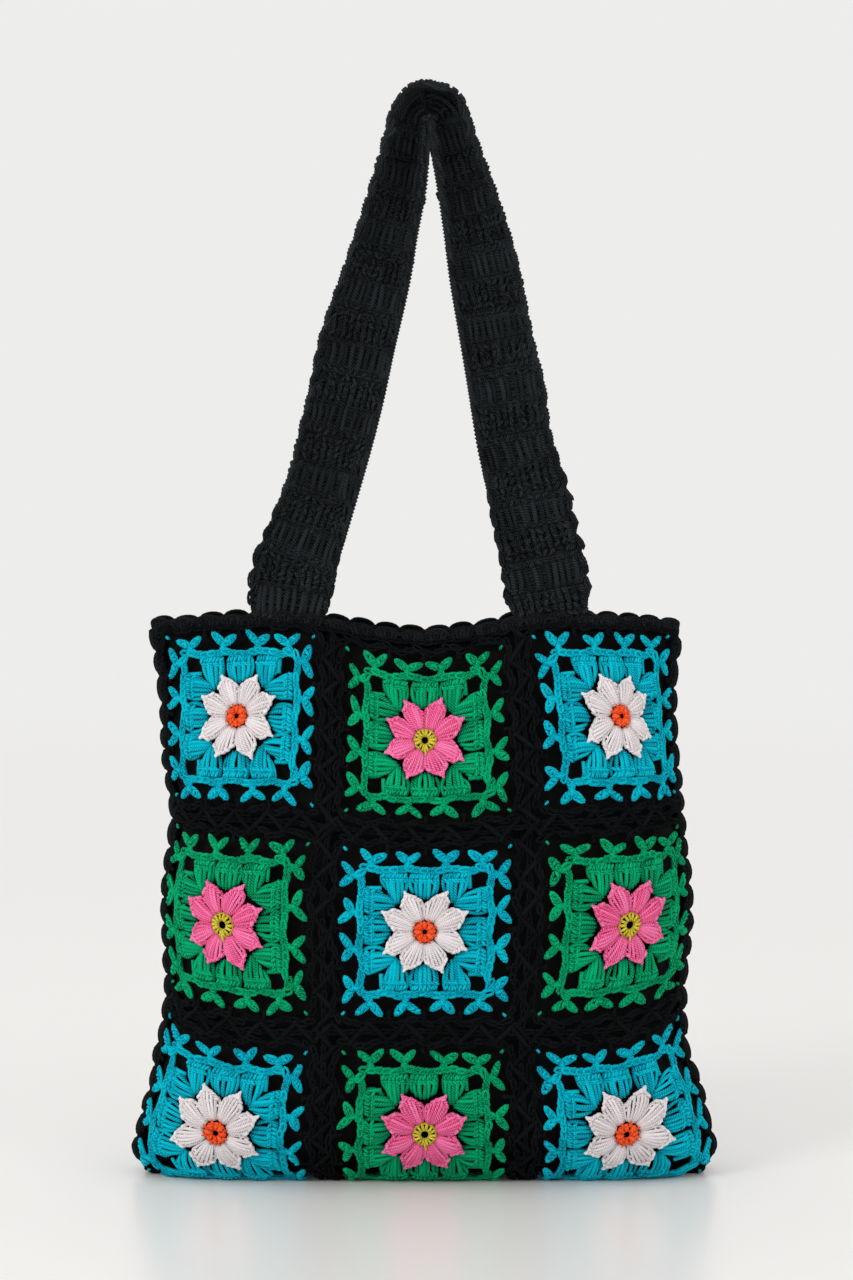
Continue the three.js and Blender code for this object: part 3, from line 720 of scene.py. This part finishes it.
def petal(chance, tip_lean):
    """One petal pointing up: strands that fan out of the hub, heads across them and a small tip."""
    strands = []
    crown = PETAL_CROWN + vary(chance, 0.5)
    peak = 0.4 * tip_lean
    for k in range(PETAL_LANES):
        share = lane_share(k, PETAL_LANES)
        fall = PETAL_FALL * (share - peak) ** 2
        t = np.linspace(0, 1, 8)
        reach = mix(PETAL_ROOT, crown - fall, t)
        wide = np.interp(t, [0, 0.35, 0.72, 1.0], [1.9, 4.4, 6.1, 5.4])
        aside = share * wide + peak * 0.8 * t**2
        out = 3.2 + 3.0 * np.sin(math.pi * np.minimum(t * 0.8 + 0.12, 1)) * (1 - 0.85 * share**2)
        thick = 2.3 * np.interp(t, [0, 0.3, 0.85, 1.0], [0.72, 0.95, 1.0, 0.85])
        strands.append(Strand(np.column_stack([aside, reach, out]), thick))
    for row, count, width in ((5.8, 4, 4.3), (3.0, 5, 4.4)):
        for k in range(count):
            share = lane_share(k, count)
            height = crown - row - 2.6 * (share - peak) ** 2 + vary(chance, 0.5)
            angle = chance.uniform(0.5, 1.0) * (-1 if k % 2 else 1)
            out = 5.7 - 0.25 * (5.8 - row) - 1.2 * share**2
            strands.append(knot((share * width + peak, height), angle, 3.2, 1.7, out))
    for k in range(6):
        share = lane_share(k, 6)
        fall = PETAL_FALL * (share - peak) ** 2
        spot = (share * 5.2 + peak * 0.8, crown - 0.3 - fall)
        strands.append(knot(spot, -0.9 * (share - peak) + vary(chance, 0.2), 4.0, 2.5, 4.8))
    tip = (peak * 6.2, crown + 0.3)
    lean = peak * 1.1
    for aside, height, turn in ((-0.9, 0.0, -0.4), (0.9, 0.0, 0.4), (0.0, 1.5, 0.0)):
        spot = (tip[0] + aside + height * lean, tip[1] + height)
        strands.append(knot(spot, math.pi / 2 - lean + turn, 3.6, 2.5, 4.6))
    return strands


def flower_stitches(chance):
    """Eight petals round the flower's middle, their tips leaning to and fro."""
    strands = []
    for k in range(PETALS):
        angle = 2 * math.pi * (k + 0.5) / PETALS
        tip_lean = (-1 if k % 2 else 1) * chance.uniform(0.15, 1.0)
        strands += moved(petal(chance, tip_lean), angle=-angle + vary(chance, 0.05))
    return strands


def centre_stitches(chance, is_open):
    """The flower's middle: fat knots round a small hole, or an open ring of thin stitches."""
    strands = []
    count = 14 if is_open else 8
    thick = 1.9 if is_open else 3.3
    hole = 2.6 if is_open else 2.0
    rim = 7.2 if is_open else 6.0
    for k in range(count):
        angle = 2 * math.pi * (k + vary(chance, 0.1)) / count
        way = np.array([math.cos(angle), math.sin(angle)])
        reach = np.array([hole, 3.6, rim - 1.4, rim])
        out = np.array([4.6, 5.9, 5.8, 4.5])
        points = np.column_stack([reach * way[0], reach * way[1], out])
        strands.append(Strand(points, thick * np.array([0.7, 1.0, 1.0, 0.75])))
        if not is_open:
            strands.append(knot(way * 4.6, angle + 1.2, 3.2, 2.6, 5.9))
            point = 2 * math.pi * (k + 0.5) / count
            ray = np.array([math.cos(point), math.sin(point)])
            reach = np.array([4.6, 6.4, 8.2, 10.4])
            points = np.column_stack([reach * ray[0], reach * ray[1], [5.2, 5.3, 5.0, 4.6]])
            strands.append(Strand(points, np.array([3.0, 1.7, 0.7, 0.35])))
    for radius, out in ((hole + 0.5, 4.7), (rim - 0.4, 4.3)):
        turn = circle(16)
        ring = np.column_stack([radius * np.cos(turn), radius * np.sin(turn), np.full(16, out)])
        strands.append(Strand(ring, 1.7, True))
    if is_open:
        strands.append(Strand(between((-0.6, -3.0, 4.8), (0.8, -9.4, 5.6), 6, bow=0.8), 1.4))
    return strands


def zigzag(start, end, reach, pitch, chance):
    """Bridges that go to and fro across a strip, from one of its chains to the other."""
    start = np.array(start, float)
    way = np.array(end, float) - start
    length = np.linalg.norm(way)
    way /= length
    side = np.array([-way[1], way[0]])
    count = max(int(round(length / pitch)), 1)
    strands = []
    for k in range(count):
        aside = side * reach * (1 if k % 2 else -1)
        first = start + way * (k * length / count) + aside
        last = start + way * ((k + 1) * length / count) - aside
        path = between((*first, 1.5), (*last, 1.6), 5, bow=0.4, lean=vary(chance, 0.5))
        strands.append(Strand(path, 3.5))
        strands.append(knot(first, chance.uniform(0, 3), 5.0, 3.0, 2.2))
    return strands


def black_square(chance):
    """The black round of one square: a rippled chain at the forks' tips, with posts between."""
    path = rippled_square(LACE, LACE_CORNER, 1.1, 20)
    strands = chain(path, 5.2, 5.4, 2.0, 1.3, 2.4, chance, True)
    strands.append(chain_core(path))
    for quarter in range(4):
        side = []
        for place in LACE_POSTS:
            x = place + vary(chance, 0.8)
            foot = (x, LACE + 1, 1.5)
            path = between(foot, (x + vary(chance, 0.8), LACE - 6.5, 1.3), 5)
            side.append(Strand(path, 2.8))
            side.append(knot((x, LACE - 5.5), vary(chance, 0.6), 3.8, 2.2, 1.8))
        strands += moved(side, angle=math.pi / 2 * quarter)
    return strands


def square_middles():
    """Row, column and middle of each square on the flat cloth."""
    for row in range(1, SQUARES + 1):
        for column in range(1, SQUARES + 1):
            x = (column - 0.5) * SQUARE_PITCH - PANEL_HALF
            yield row, column, (x, (SQUARES - row + 0.5) * SQUARE_PITCH)


def net_stitches(chance):
    """Black work between the squares of one face."""
    strands = []
    for _, _, middle in square_middles():
        strands += moved(black_square(chance), middle)
    gap = SQUARE_PITCH / 2 - LACE
    step = SQUARE_PITCH / 11
    for k in range(1, SQUARES):
        up = k * SQUARE_PITCH
        x = up - PANEL_HALF
        strands += zigzag((x, 3.0), (x, PANEL_RISE - 8), gap - 1, step, chance)
        strands += zigzag((-PANEL_HALF + 4, up), (PANEL_HALF - 4, up), gap - 1, step, chance)
        upright = [(x, 6.0), (x, PANEL_RISE - 8)]
        level = [(-PANEL_HALF + 6, up), (PANEL_HALF - 6, up)]
        for path in (upright, level):
            strands += chain(np.array(path), *NET_CHAIN, 1.0, 2.0, chance)
    edge = PANEL_HALF - 3.2
    for x in (-edge, edge):
        strands += zigzag((x, 8.0), (x, PANEL_RISE - 14), 3.4, step, chance)
        path = np.array([(x, 10.0), (x, PANEL_RISE - 14)])
        strands += chain(path, *NET_CHAIN, 1.0, 1.8, chance)
    strands += zigzag((-edge, 4.0), (edge, 4.0), 2.6, step, chance)
    shares = np.linspace(-0.98, 0.98, 60)
    top = np.column_stack([shares * PANEL_HALF, cloth_rise(shares) - RIM_DEPTH - 1.4])
    strands += chain(top, 5.2, 5.0, 1.9, 1.2, 2.2, chance)
    return strands


def rim_scallop(height, chance):
    """One rounded shell of the rim, drawn with the middle of its foot at 0."""
    strands = []
    half = PANEL_HALF / SCALLOPS_ACROSS * 0.98
    lanes = 6
    for k in range(lanes):
        share = lane_share(k, lanes)
        foot = (share * half * 0.62, -1.0, 1.5)
        tip = (share * half * 0.86, (height - 1.0) * math.sqrt(1.02 - 0.75 * share**2), 1.7)
        strands.append(Strand(between(foot, tip, 5, bow=0.3), 2.7))
    turn = np.linspace(0.12, math.pi - 0.12, 9)
    for shrink, out in ((1.0, 1.6), (0.72, 2.2)):
        rise = (height - 0.6) * np.sin(turn) ** 0.7 * shrink + vary(chance, 0.2)
        arc = np.column_stack([half * shrink * np.cos(turn), rise, np.full(len(turn), out)])
        strands.append(Strand(arc, 2.4 * shrink))
    for k in range(3):
        spot = ((k - 1) * half * 0.5, height * 0.55)
        strands.append(knot(spot, vary(chance, 0.8), 4.6, 2.1, 2.5))
    return strands


def rim_stitches(chance):
    """The rim's row of scallops, and the hem under it."""
    strands = []
    width = 2 * PANEL_HALF / SCALLOPS_ACROSS
    for k in range(SCALLOPS_ACROSS):
        middle = -PANEL_HALF + (k + 0.5) * width + vary(chance, 0.9)
        height = RIM_DEPTH + chance.uniform(-1.1, 0.5)
        for s in rim_scallop(height, chance):
            points = s.points.copy()
            points[:, 0] += middle
            points[:, 1] += cloth_rise(points[:, 0] / PANEL_HALF) - RIM_DEPTH
            strands.append(Strand(points, s.thickness, s.is_loop))
    # The hem that joins the lining to the rim
    shares = np.linspace(-0.985, 0.985, 90)
    for down, out in ((RIM_DEPTH + 0.8, -0.7), (RIM_DEPTH - 2.2, 0.2)):
        hem = np.column_stack([shares * PANEL_HALF, cloth_rise(shares) - down, shares * 0 + out])
        strands.append(Strand(hem, 4.2))
    return strands


def handle_stitches(length, chance):
    """Rows of posts up a band, plain and knotted by turns, with grooves and scalloped edges."""
    strands = []
    rows = 2 * int(round(length / ROW_PITCH / 2))
    pitch = length / rows
    half = STRAP_WIDTH / 2 - 2.6
    for row in range(rows):
        low = row * pitch
        is_knotted = row % 2 == 1
        foot = -POST_DEPTH if is_knotted else -GROOVE_DEPTH
        head = -GROOVE_DEPTH if is_knotted else -POST_DEPTH
        start = low + (0.2 if is_knotted else 1.1)
        stop = low + pitch - (1.1 if is_knotted else 0.2)
        drift = vary(chance, 1.2)
        places = (0.2, 0.42, 0.64, 0.84) if is_knotted else (0.1, 0.88)
        if abs(low + pitch / 2 - length / 2) < FOLDS_NEAR_PEAK:
            # Towards the peak the rows run together into lengthwise folds.
            foot = head = -POST_DEPTH
            places = (0.1, 0.6)
        for k in range(POSTS_IN_ROW):
            x = mix(-half, half, (k + 0.5) / POSTS_IN_ROW) + vary(chance, 0.6)
            slant = drift + vary(chance, 1.3)
            sunk = chance.uniform(0.0, 0.7)
            lean = vary(chance, 0.9)
            top = (x + slant, stop, head - sunk)
            path = between((x, start, foot - sunk), top, 7, bow=2.3, lean=lean)
            strands.append(Strand(path, chance.uniform(3.3, 3.9)))
            for place in places:
                aside = x + slant * place + vary(chance, 0.7)
                spot = (aside, low + pitch * (place + vary(chance, 0.05)))
                angle = chance.choice((-0.85, 0.85)) + vary(chance, 0.4)
                out = 1.5 + chance.uniform(-0.3, 0.4) if is_knotted else 0.3
                strands.append(knot(spot, angle, 4.8, 2.5, out - 0.8 * (place > 0.8)))
    # Threads across the band that the posts stand on, so that no light comes between them.
    # They spread apart round the outside of the peak, so they are closer together there.
    at = 1.0
    while at < length - 1.0:
        path = between((-half - 1.4, at, -1.9), (half + 1.4, at + vary(chance, 1), -1.9), 6)
        strands.append(Strand(path, 3.6))
        is_near_peak = abs(at - length / 2) < THREADS_NEAR_PEAK
        at += PEAK_THREAD_PITCH if is_near_peak else THREAD_PITCH
    for side in (-1, 1):
        at = np.arange(EDGE_CHAIN_START, length - EDGE_CHAIN_START, 1.5)
        wave = half + 0.4 + 1.7 * np.abs(np.sin(math.pi * at / pitch * 1.5)) ** 0.7
        strands += chain(np.column_stack([side * wave, at]), 4.9, 4.4, 2.1, -0.9, 0.5, chance)
    for s in strands:
        end = np.minimum(s.points[:, 1], length - s.points[:, 1])
        s.points[:, 0] *= mix(FOOT_NARROWING, 1.0, ease(end / 14.0))
    return strands


def seam_stitches(length, chance):
    """A braid over the joined edges in rounded bulges, out of 1 where the ridge is highest."""
    ways = [0.0]
    bulges = [BULGE_LOW]
    while ways[-1] < length - 9.0:
        width = min(chance.uniform(*BULGE_WIDTH), length - ways[-1])
        high = chance.uniform(0.42, 0.62)
        share = np.linspace(0, 1, 9)[1:]
        bulges += list(BULGE_LOW + high * np.sin(math.pi * share) ** 0.6)
        ways += list(ways[-1] + share * width)
    strands = []
    count = int(length / 6.0)
    for k in range(count):
        at = (k + 0.5) * length / count
        turn = circle(9)
        out = np.interp(at, ways, bulges) - 0.5 + 0.36 * np.sin(turn)
        points = np.column_stack([1.7 * np.cos(turn), at + 1.6 * np.cos(turn), out])
        strands.append(Strand(points, 2.0 + vary(chance, 0.2), True))
    count = int(length / 3.2)
    for k in range(count):
        at = (k + 0.5) * length / count
        turn = np.linspace(-1.3, 1.3, 6)
        out = -0.6 + (np.interp(at, ways, bulges) + 0.25) * np.cos(turn)
        points = np.column_stack([3.2 * np.sin(turn), at + 0.4 * turn, out])
        strands.append(Strand(points, 3.8))
    # Cords along the edging, so close together that they shut out the light
    at = np.arange(1.0, length, 2.2)
    bulge = np.interp(at, ways, bulges)
    for aside, out in ((-1.7, bulge - 0.45), (0.0, bulge - 0.28), (1.7, bulge - 0.45)):
        strands.append(Strand(np.column_stack([at * 0 + aside, at, out]), 3.0))
    at = at[::2]
    for aside, out in ((-1.6, -0.25), (1.6, -0.25), (0.0, 0.0)):
        strands.append(Strand(np.column_stack([at * 0 + aside, at, at * 0 + out]), 4.6))
    return strands


def face_counts(strands):
    """How many side faces each strand's tube has."""
    return np.array([(len(s.points) - (0 if s.is_loop else 1)) * TUBE_SIDES for s in strands])


def lay_strands(name, strands, surface, is_back):
    """The strands as round curves on the surface, in one curve object's data."""
    sizes = [len(s.points) for s in strands]
    placed = surface.place(np.concatenate([s.points for s in strands]), is_back)
    thick = np.concatenate([np.broadcast_to(s.thickness, len(s.points)) for s in strands])
    placed[:, 2] = np.maximum(placed[:, 2], thick / 2 * MM)
    curve = bpy.data.curves.new(name + "_lines", "CURVE")
    curve.dimensions = "3D"
    curve.bevel_depth = MM / 2
    curve.bevel_resolution = 0
    curve.use_fill_caps = True
    lengths = []
    start = 0
    for s, size in zip(strands, sizes):
        points = placed[start : start + size]
        spline = curve.splines.new("POLY")
        spline.points.add(size - 1)
        spline.points.foreach_set("co", np.column_stack([points, np.ones(size)]).ravel())
        spline.points.foreach_set("radius", thick[start : start + size])
        spline.use_cyclic_u = s.is_loop
        steps = np.linalg.norm(np.diff(points, axis=0), axis=1).sum()
        lengths.append(steps / MM)
        start += size
    return curve, np.array(lengths)


def add_object(name, data):
    """A new object at the origin, in the scene."""
    item = bpy.data.objects.new(name, data)
    bpy.context.scene.collection.objects.link(item)
    return item


def add_piece(name, mesh, finish):
    """A finished mesh as a piece of the bag."""
    mesh.materials.clear()
    mesh.materials.append(finish)
    piece = add_object(name, mesh)
    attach(piece, "root")
    return piece


def make_piece(name, strands, surface, finish, is_back=False):
    """One mesh of yarn, which keeps the length along each strand and a tone for each strand."""
    curve, lengths = lay_strands(name, strands, surface, is_back)
    holder = add_object(name + "_lines", curve)
    graph = bpy.context.evaluated_depsgraph_get()
    mesh = bpy.data.meshes.new_from_object(holder.evaluated_get(graph))
    bpy.data.objects.remove(holder)
    bpy.data.curves.remove(curve)
    counts = face_counts(strands)
    caps = len(mesh.polygons) - counts.sum()
    uv = np.zeros(len(mesh.loops) * 2)
    layer = mesh.uv_layers.active
    layer.uv.foreach_get("vector", uv)
    uv = uv.reshape(-1, 2)
    cap_loops = len(mesh.loops) - counts.sum() * FACE_CORNERS
    uv[cap_loops:, 0] *= np.repeat(lengths, counts * FACE_CORNERS)
    layer.uv.foreach_set("vector", uv.ravel())
    chance = np.random.default_rng(len(strands))
    tones = np.full(len(mesh.polygons), 0.5)
    tones[caps:] = np.repeat(chance.random(len(strands)), counts)
    mesh.attributes.new("tone", "FLOAT", "FACE").data.foreach_set("value", tones)
    work = bmesh.new()
    work.from_mesh(mesh)
    bmesh.ops.remove_doubles(work, verts=work.verts, dist=1e-7)
    for face in work.faces:
        face.smooth = True
    work.to_mesh(mesh)
    work.free()
    mesh.name = name
    return add_piece(name, mesh, finish)


def set_inputs(node, values):
    for name, value in values.items():
        node.inputs[name].default_value = value


def yarn_finish(name, colour, shade, glow, gloss=0.06, sheen=0.01):
    """Plied yarn: twist lines along each strand, with painted shade in their grooves and painted
    highlight on the plies, fibres, a tone for each stitch, a soft sheen.
    """
    material = bpy.data.materials.new(name)
    material.use_nodes = True
    nodes = material.node_tree.nodes
    links = material.node_tree.links
    nodes.clear()

    def math_node(operation, *values):
        node = nodes.new("ShaderNodeMath")
        node.operation = operation
        for socket, value in zip(node.inputs, values):
            if isinstance(value, (int, float)):
                socket.default_value = value
            else:
                links.new(value, socket)
        return node.outputs[0]

    output = nodes.new("ShaderNodeOutputMaterial")
    skin = nodes.new("ShaderNodeBsdfPrincipled")
    links.new(skin.outputs[0], output.inputs["Surface"])
    uv = nodes.new("ShaderNodeUVMap")
    split = nodes.new("ShaderNodeSeparateXYZ")
    links.new(uv.outputs[0], split.inputs[0])
    along = math_node("MULTIPLY", split.outputs[0], 1 / TWIST_LENGTH)
    twist = math_node("ADD", along, math_node("MULTIPLY", split.outputs[1], PLIES))
    wave = math_node("SINE", math_node("MULTIPLY", twist, 2 * math.pi))
    ply = math_node("MULTIPLY_ADD", wave, 0.5, 0.5)
    place = nodes.new("ShaderNodeTexCoord")
    fibre = nodes.new("ShaderNodeTexNoise")
    set_inputs(fibre, {"Scale": 1400.0, "Detail": 3.0})
    links.new(place.outputs["Object"], fibre.inputs["Vector"])
    cloud = nodes.new("ShaderNodeTexNoise")
    set_inputs(cloud, {"Scale": 45.0, "Detail": 2.0})
    links.new(place.outputs["Object"], cloud.inputs["Vector"])
    tone = nodes.new("ShaderNodeAttribute")
    tone.attribute_name = "tone"
    # Painted shade and highlight: the twist wave darkens the colour in the grooves between the
    # plies and lightens it on their crests; fibres, cloud and each strand's tone change it at
    # random
    light = math_node("MULTIPLY", ply, 0.42)
    for source, share in ((fibre, 0.45), (tone, 0.3), (cloud, 0.25)):
        light = math_node("ADD", light, math_node("MULTIPLY", source.outputs["Fac"], share))
    # The dark stop is painted shade (and darker strands), the light stop painted highlight (and
    # lighter strands)
    ramp = nodes.new("ShaderNodeValToRGB")
    stops = ramp.color_ramp.elements
    stops[0].position = 0.36
    stops[0].color = (*shade, 1)
    stops[1].position = 0.95
    stops[1].color = (*glow, 1)
    stops.new(0.62).color = (*colour, 1)
    links.new(light, ramp.inputs[0])
    links.new(ramp.outputs[0], skin.inputs["Base Color"])
    relief = math_node("MULTIPLY", ply, 0.6)
    relief = math_node("ADD", relief, math_node("MULTIPLY", fibre.outputs["Fac"], 0.8))
    bump = nodes.new("ShaderNodeBump")
    set_inputs(bump, {"Strength": 0.85, "Distance": 0.0004})
    links.new(relief, bump.inputs["Height"])
    links.new(bump.outputs[0], skin.inputs["Normal"])
    set_inputs(skin, {"Roughness": 0.82, "Specular IOR Level": gloss})
    set_inputs(skin, {"Sheen Weight": sheen, "Sheen Roughness": 0.5})
    return material


def lining_finish():
    """Thin black woven cotton, with its threads drawn along the cloth."""
    material = plain_finish("black_cotton", (0.0035, 0.0035, 0.004), 0.9)
    nodes = material.node_tree.nodes
    links = material.node_tree.links
    skin = nodes["Principled BSDF"]
    set_inputs(skin, {"Specular IOR Level": 0.15})
    uv = nodes.new("ShaderNodeUVMap")
    both = nodes.new("ShaderNodeMath")
    both.operation = "MAXIMUM"
    for k, turn in enumerate((0.0, math.pi / 2)):
        place = nodes.new("ShaderNodeMapping")
        set_inputs(place, {"Scale": (300.0, 300.0, 1.0), "Rotation": (0.0, 0.0, turn)})
        links.new(uv.outputs[0], place.inputs["Vector"])
        thread = nodes.new("ShaderNodeTexWave")
        set_inputs(thread, {"Scale": 1.0})
        links.new(place.outputs[0], thread.inputs["Vector"])
        links.new(thread.outputs["Fac"], both.inputs[k])
    bump = nodes.new("ShaderNodeBump")
    set_inputs(bump, {"Strength": 0.4, "Distance": 0.0002})
    links.new(both.outputs[0], bump.inputs["Height"])
    links.new(bump.outputs[0], skin.inputs["Normal"])
    return material


def plain_finish(name, colour, roughness):
    material = bpy.data.materials.new(name)
    material.use_nodes = True
    skin = material.node_tree.nodes["Principled BSDF"]
    set_inputs(skin, {"Base Color": (*colour, 1), "Roughness": roughness})
    return material


def make_finishes():
    return {name: yarn_finish(name, *looks) for name, looks in YARNS.items()}


def make_body(cloth, finishes):
    """The squares, flowers and centres of both faces, and the black net between them."""
    for face, is_back in FACES:
        for row, column, middle in square_middles():
            place = f"{face}_r{row}c{column}"
            is_blue = (row + column) % 2 == 0
            chance = random.Random(place)
            yarns = ("blue", "white", "orange") if is_blue else ("green", "pink", "yellow")
            drawings = (
                square_stitches(chance),
                flower_stitches(chance),
                centre_stitches(chance, not is_blue),
            )
            for kind, yarn, drawing in zip(("square", "flower", "centre"), yarns, drawings):
                node = f"{kind}_{place}"
                slot = yarn + "_yarn"
                strands = moved(drawing, middle)
                piece = make_piece(node + "_yarn", strands, cloth, finishes[slot], is_back)
                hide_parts(node)
        strands = net_stitches(random.Random("net " + face))
        black = finishes["black_yarn"]
        net = make_piece(f"net_{face}_yarn", strands, cloth, black, is_back)
        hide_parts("net")


def make_lining(cloth, finish):
    """Thin woven cloth inside the work, a little slack between the rim and the bottom seam."""
    work = bmesh.new()
    bmesh.ops.create_grid(work, x_segments=40, y_segments=40, size=1.0)
    layer = work.loops.layers.uv.new("weave")
    for face in work.faces:
        face.smooth = True
        for loop in face.loops:
            loop[layer].uv = (loop.vert.co.x, loop.vert.co.y)
    work.verts.ensure_lookup_table()
    flat = np.array([v.co for v in work.verts])
    across = flat[:, 0]
    share = flat[:, 1] / 2 + 0.5
    slack = mix(JOIN_GAP, LINING_SLACK, ease(np.minimum(share, 1 - share) / LINING_DRAPE))
    rise = share * (cloth_rise(across) - RIM_DEPTH - JOIN_GAP)
    # It keeps close to the cloth where that turns towards the sides.
    ground = np.column_stack([across * PANEL_HALF, rise, rise * 0])
    facing = np.abs((cloth.place(ground + [0.0, 0.0, 1.0]) - cloth.place(ground))[:, 1]) / MM
    hold = np.where(share > 0.1, facing**3, 1.0) * ease((1 - np.abs(across)) / 0.1)
    out = -(mix(JOIN_GAP, slack, hold) + LINING / 2)
    spots = cloth.place(np.column_stack([across * PANEL_HALF, rise, out]))
    edge = cloth.place(ground)
    for v, spot, rim, aside, low, depth in zip(work.verts, spots, edge, across, share, -out * MM):
        v.co = spot
        if abs(aside) > 0.9999:
            v.co = (rim[0] - math.copysign(depth, aside), 0.0, max(rim[2], spot[2]))
        if low < 0.0001:
            v.co = (v.co.x, 0.0, CLOTH * MM + depth)
    back = bmesh.ops.duplicate(work, geom=work.verts[:] + work.edges[:] + work.faces[:])["geom"]
    back_verts = [item for item in back if isinstance(item, bmesh.types.BMVert)]
    back_faces = [item for item in back if isinstance(item, bmesh.types.BMFace)]
    bmesh.ops.scale(work, vec=(1, -1, 1), verts=back_verts)
    bmesh.ops.reverse_faces(work, faces=back_faces)
    bmesh.ops.remove_doubles(work, verts=work.verts, dist=1e-6)
    bmesh.ops.solidify(work, geom=work.faces[:], thickness=LINING * MM)
    mesh = bpy.data.meshes.new("lining_cloth")
    work.to_mesh(mesh)
    work.free()
    piece = add_piece("lining_cloth", mesh, finish)
    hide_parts("lining")


def make_rim(cloth, finish):
    for face, is_back in FACES:
        strands = rim_stitches(random.Random("rim " + face))
        piece = make_piece(f"rim_{face}_yarn", strands, cloth, finish, is_back)
        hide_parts("rim_edging")


def make_seam(cloth, finish):
    line = make_seam_line(cloth)
    strands = seam_stitches(line.up[-1], random.Random("seam"))
    piece = make_piece("seam_yarn", strands, line, finish)
    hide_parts("net")


def make_handles(cloth, finish):
    for face, is_back in FACES:
        band = make_handle_band(cloth, is_back)
        strands = handle_stitches(band.up[-1], random.Random("handle " + face))
        piece = make_piece(f"handle_{face}_yarn", strands, band, finish, is_back)
        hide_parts("handle_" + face)


def floor_finish():
    """Pale glossy paint that fades into the light of the studio a few metres away."""
    material = plain_finish("floor_paint", (0.915, 0.895, 0.88), 0.3)
    nodes = material.node_tree.nodes
    links = material.node_tree.links
    place = nodes.new("ShaderNodeTexCoord")
    reach = nodes.new("ShaderNodeVectorMath")
    reach.operation = "LENGTH"
    links.new(place.outputs["Object"], reach.inputs[0])
    fade = nodes.new("ShaderNodeMapRange")
    fade.interpolation_type = "SMOOTHSTEP"
    set_inputs(fade, {"From Min": 0.5, "From Max": 4.0})
    links.new(reach.outputs["Value"], fade.inputs["Value"])
    glow = nodes.new("ShaderNodeEmission")
    set_inputs(glow, {"Color": (*STUDIO, 1), "Strength": STUDIO_LIGHT})
    blend = nodes.new("ShaderNodeMixShader")
    links.new(fade.outputs["Result"], blend.inputs[0])
    links.new(nodes["Principled BSDF"].outputs[0], blend.inputs[1])
    links.new(glow.outputs[0], blend.inputs[2])
    links.new(blend.outputs[0], nodes["Material Output"].inputs["Surface"])
    return material


def make_stage():
    """A pale, slightly glossy floor that runs out to the horizon."""
    work = bmesh.new()
    bmesh.ops.create_grid(work, x_segments=8, y_segments=8, size=60.0)
    mesh = bpy.data.meshes.new("floor")
    work.to_mesh(mesh)
    work.free()
    mesh.materials.append(floor_finish())
    floor = add_object("floor", mesh)


def add_light(name, place, target, size, power):
    light = bpy.data.lights.new(name, "AREA")
    light.shape = "DISK"
    light.size = size
    light.energy = power
    lamp = add_object(name, light)
    lamp.location = place
    lamp.rotation_euler = (Vector(target) - Vector(place)).to_track_quat("-Z", "Y").to_euler()


def make_lights():
    middle = (0.0, 0.0, 0.25)
    add_light("key", (-1.9, -1.9, 1.7), middle, 1.2, 26.0)
    add_light("fill", (1.8, -1.8, 1.2), middle, 1.6, 7.0)
    world = bpy.data.worlds.new("studio")
    world.use_nodes = True
    glow = world.node_tree.nodes["Background"]
    set_inputs(glow, {"Color": (*STUDIO, 1), "Strength": STUDIO_LIGHT})
    bpy.context.scene.world = world
    bpy.context.scene.view_settings.view_transform = "Standard"


def make_camera():
    """The photograph's view: straight on, a little above the bag, with a long lens."""
    distance = 2.2
    elevation = math.radians(3.5)
    seen_height = 0.768
    target = Vector((0.001, 0.0, 0.322))
    lens = bpy.data.cameras.new("camera")
    lens.sensor_fit = "VERTICAL"
    lens.sensor_height = 36.0
    lens.lens = lens.sensor_height * distance / seen_height
    camera = add_object("camera", lens)
    camera.location = target + Vector((0, -math.cos(elevation), math.sin(elevation))) * distance
    camera.rotation_euler = (target - camera.location).to_track_quat("-Z", "Y").to_euler()
    bpy.context.scene.camera = camera


make_camera()
finishes = make_finishes()
cloth = make_cloth()
make_body(cloth, finishes)
make_lining(cloth, lining_finish())
make_rim(cloth, finishes["black_yarn_painted_lighter_edge"])
make_seam(cloth, finishes["black_yarn_painted_lighter_edge"])
make_handles(cloth, finishes["black_yarn_painted_lighter_strap"])
make_stage()
make_lights()
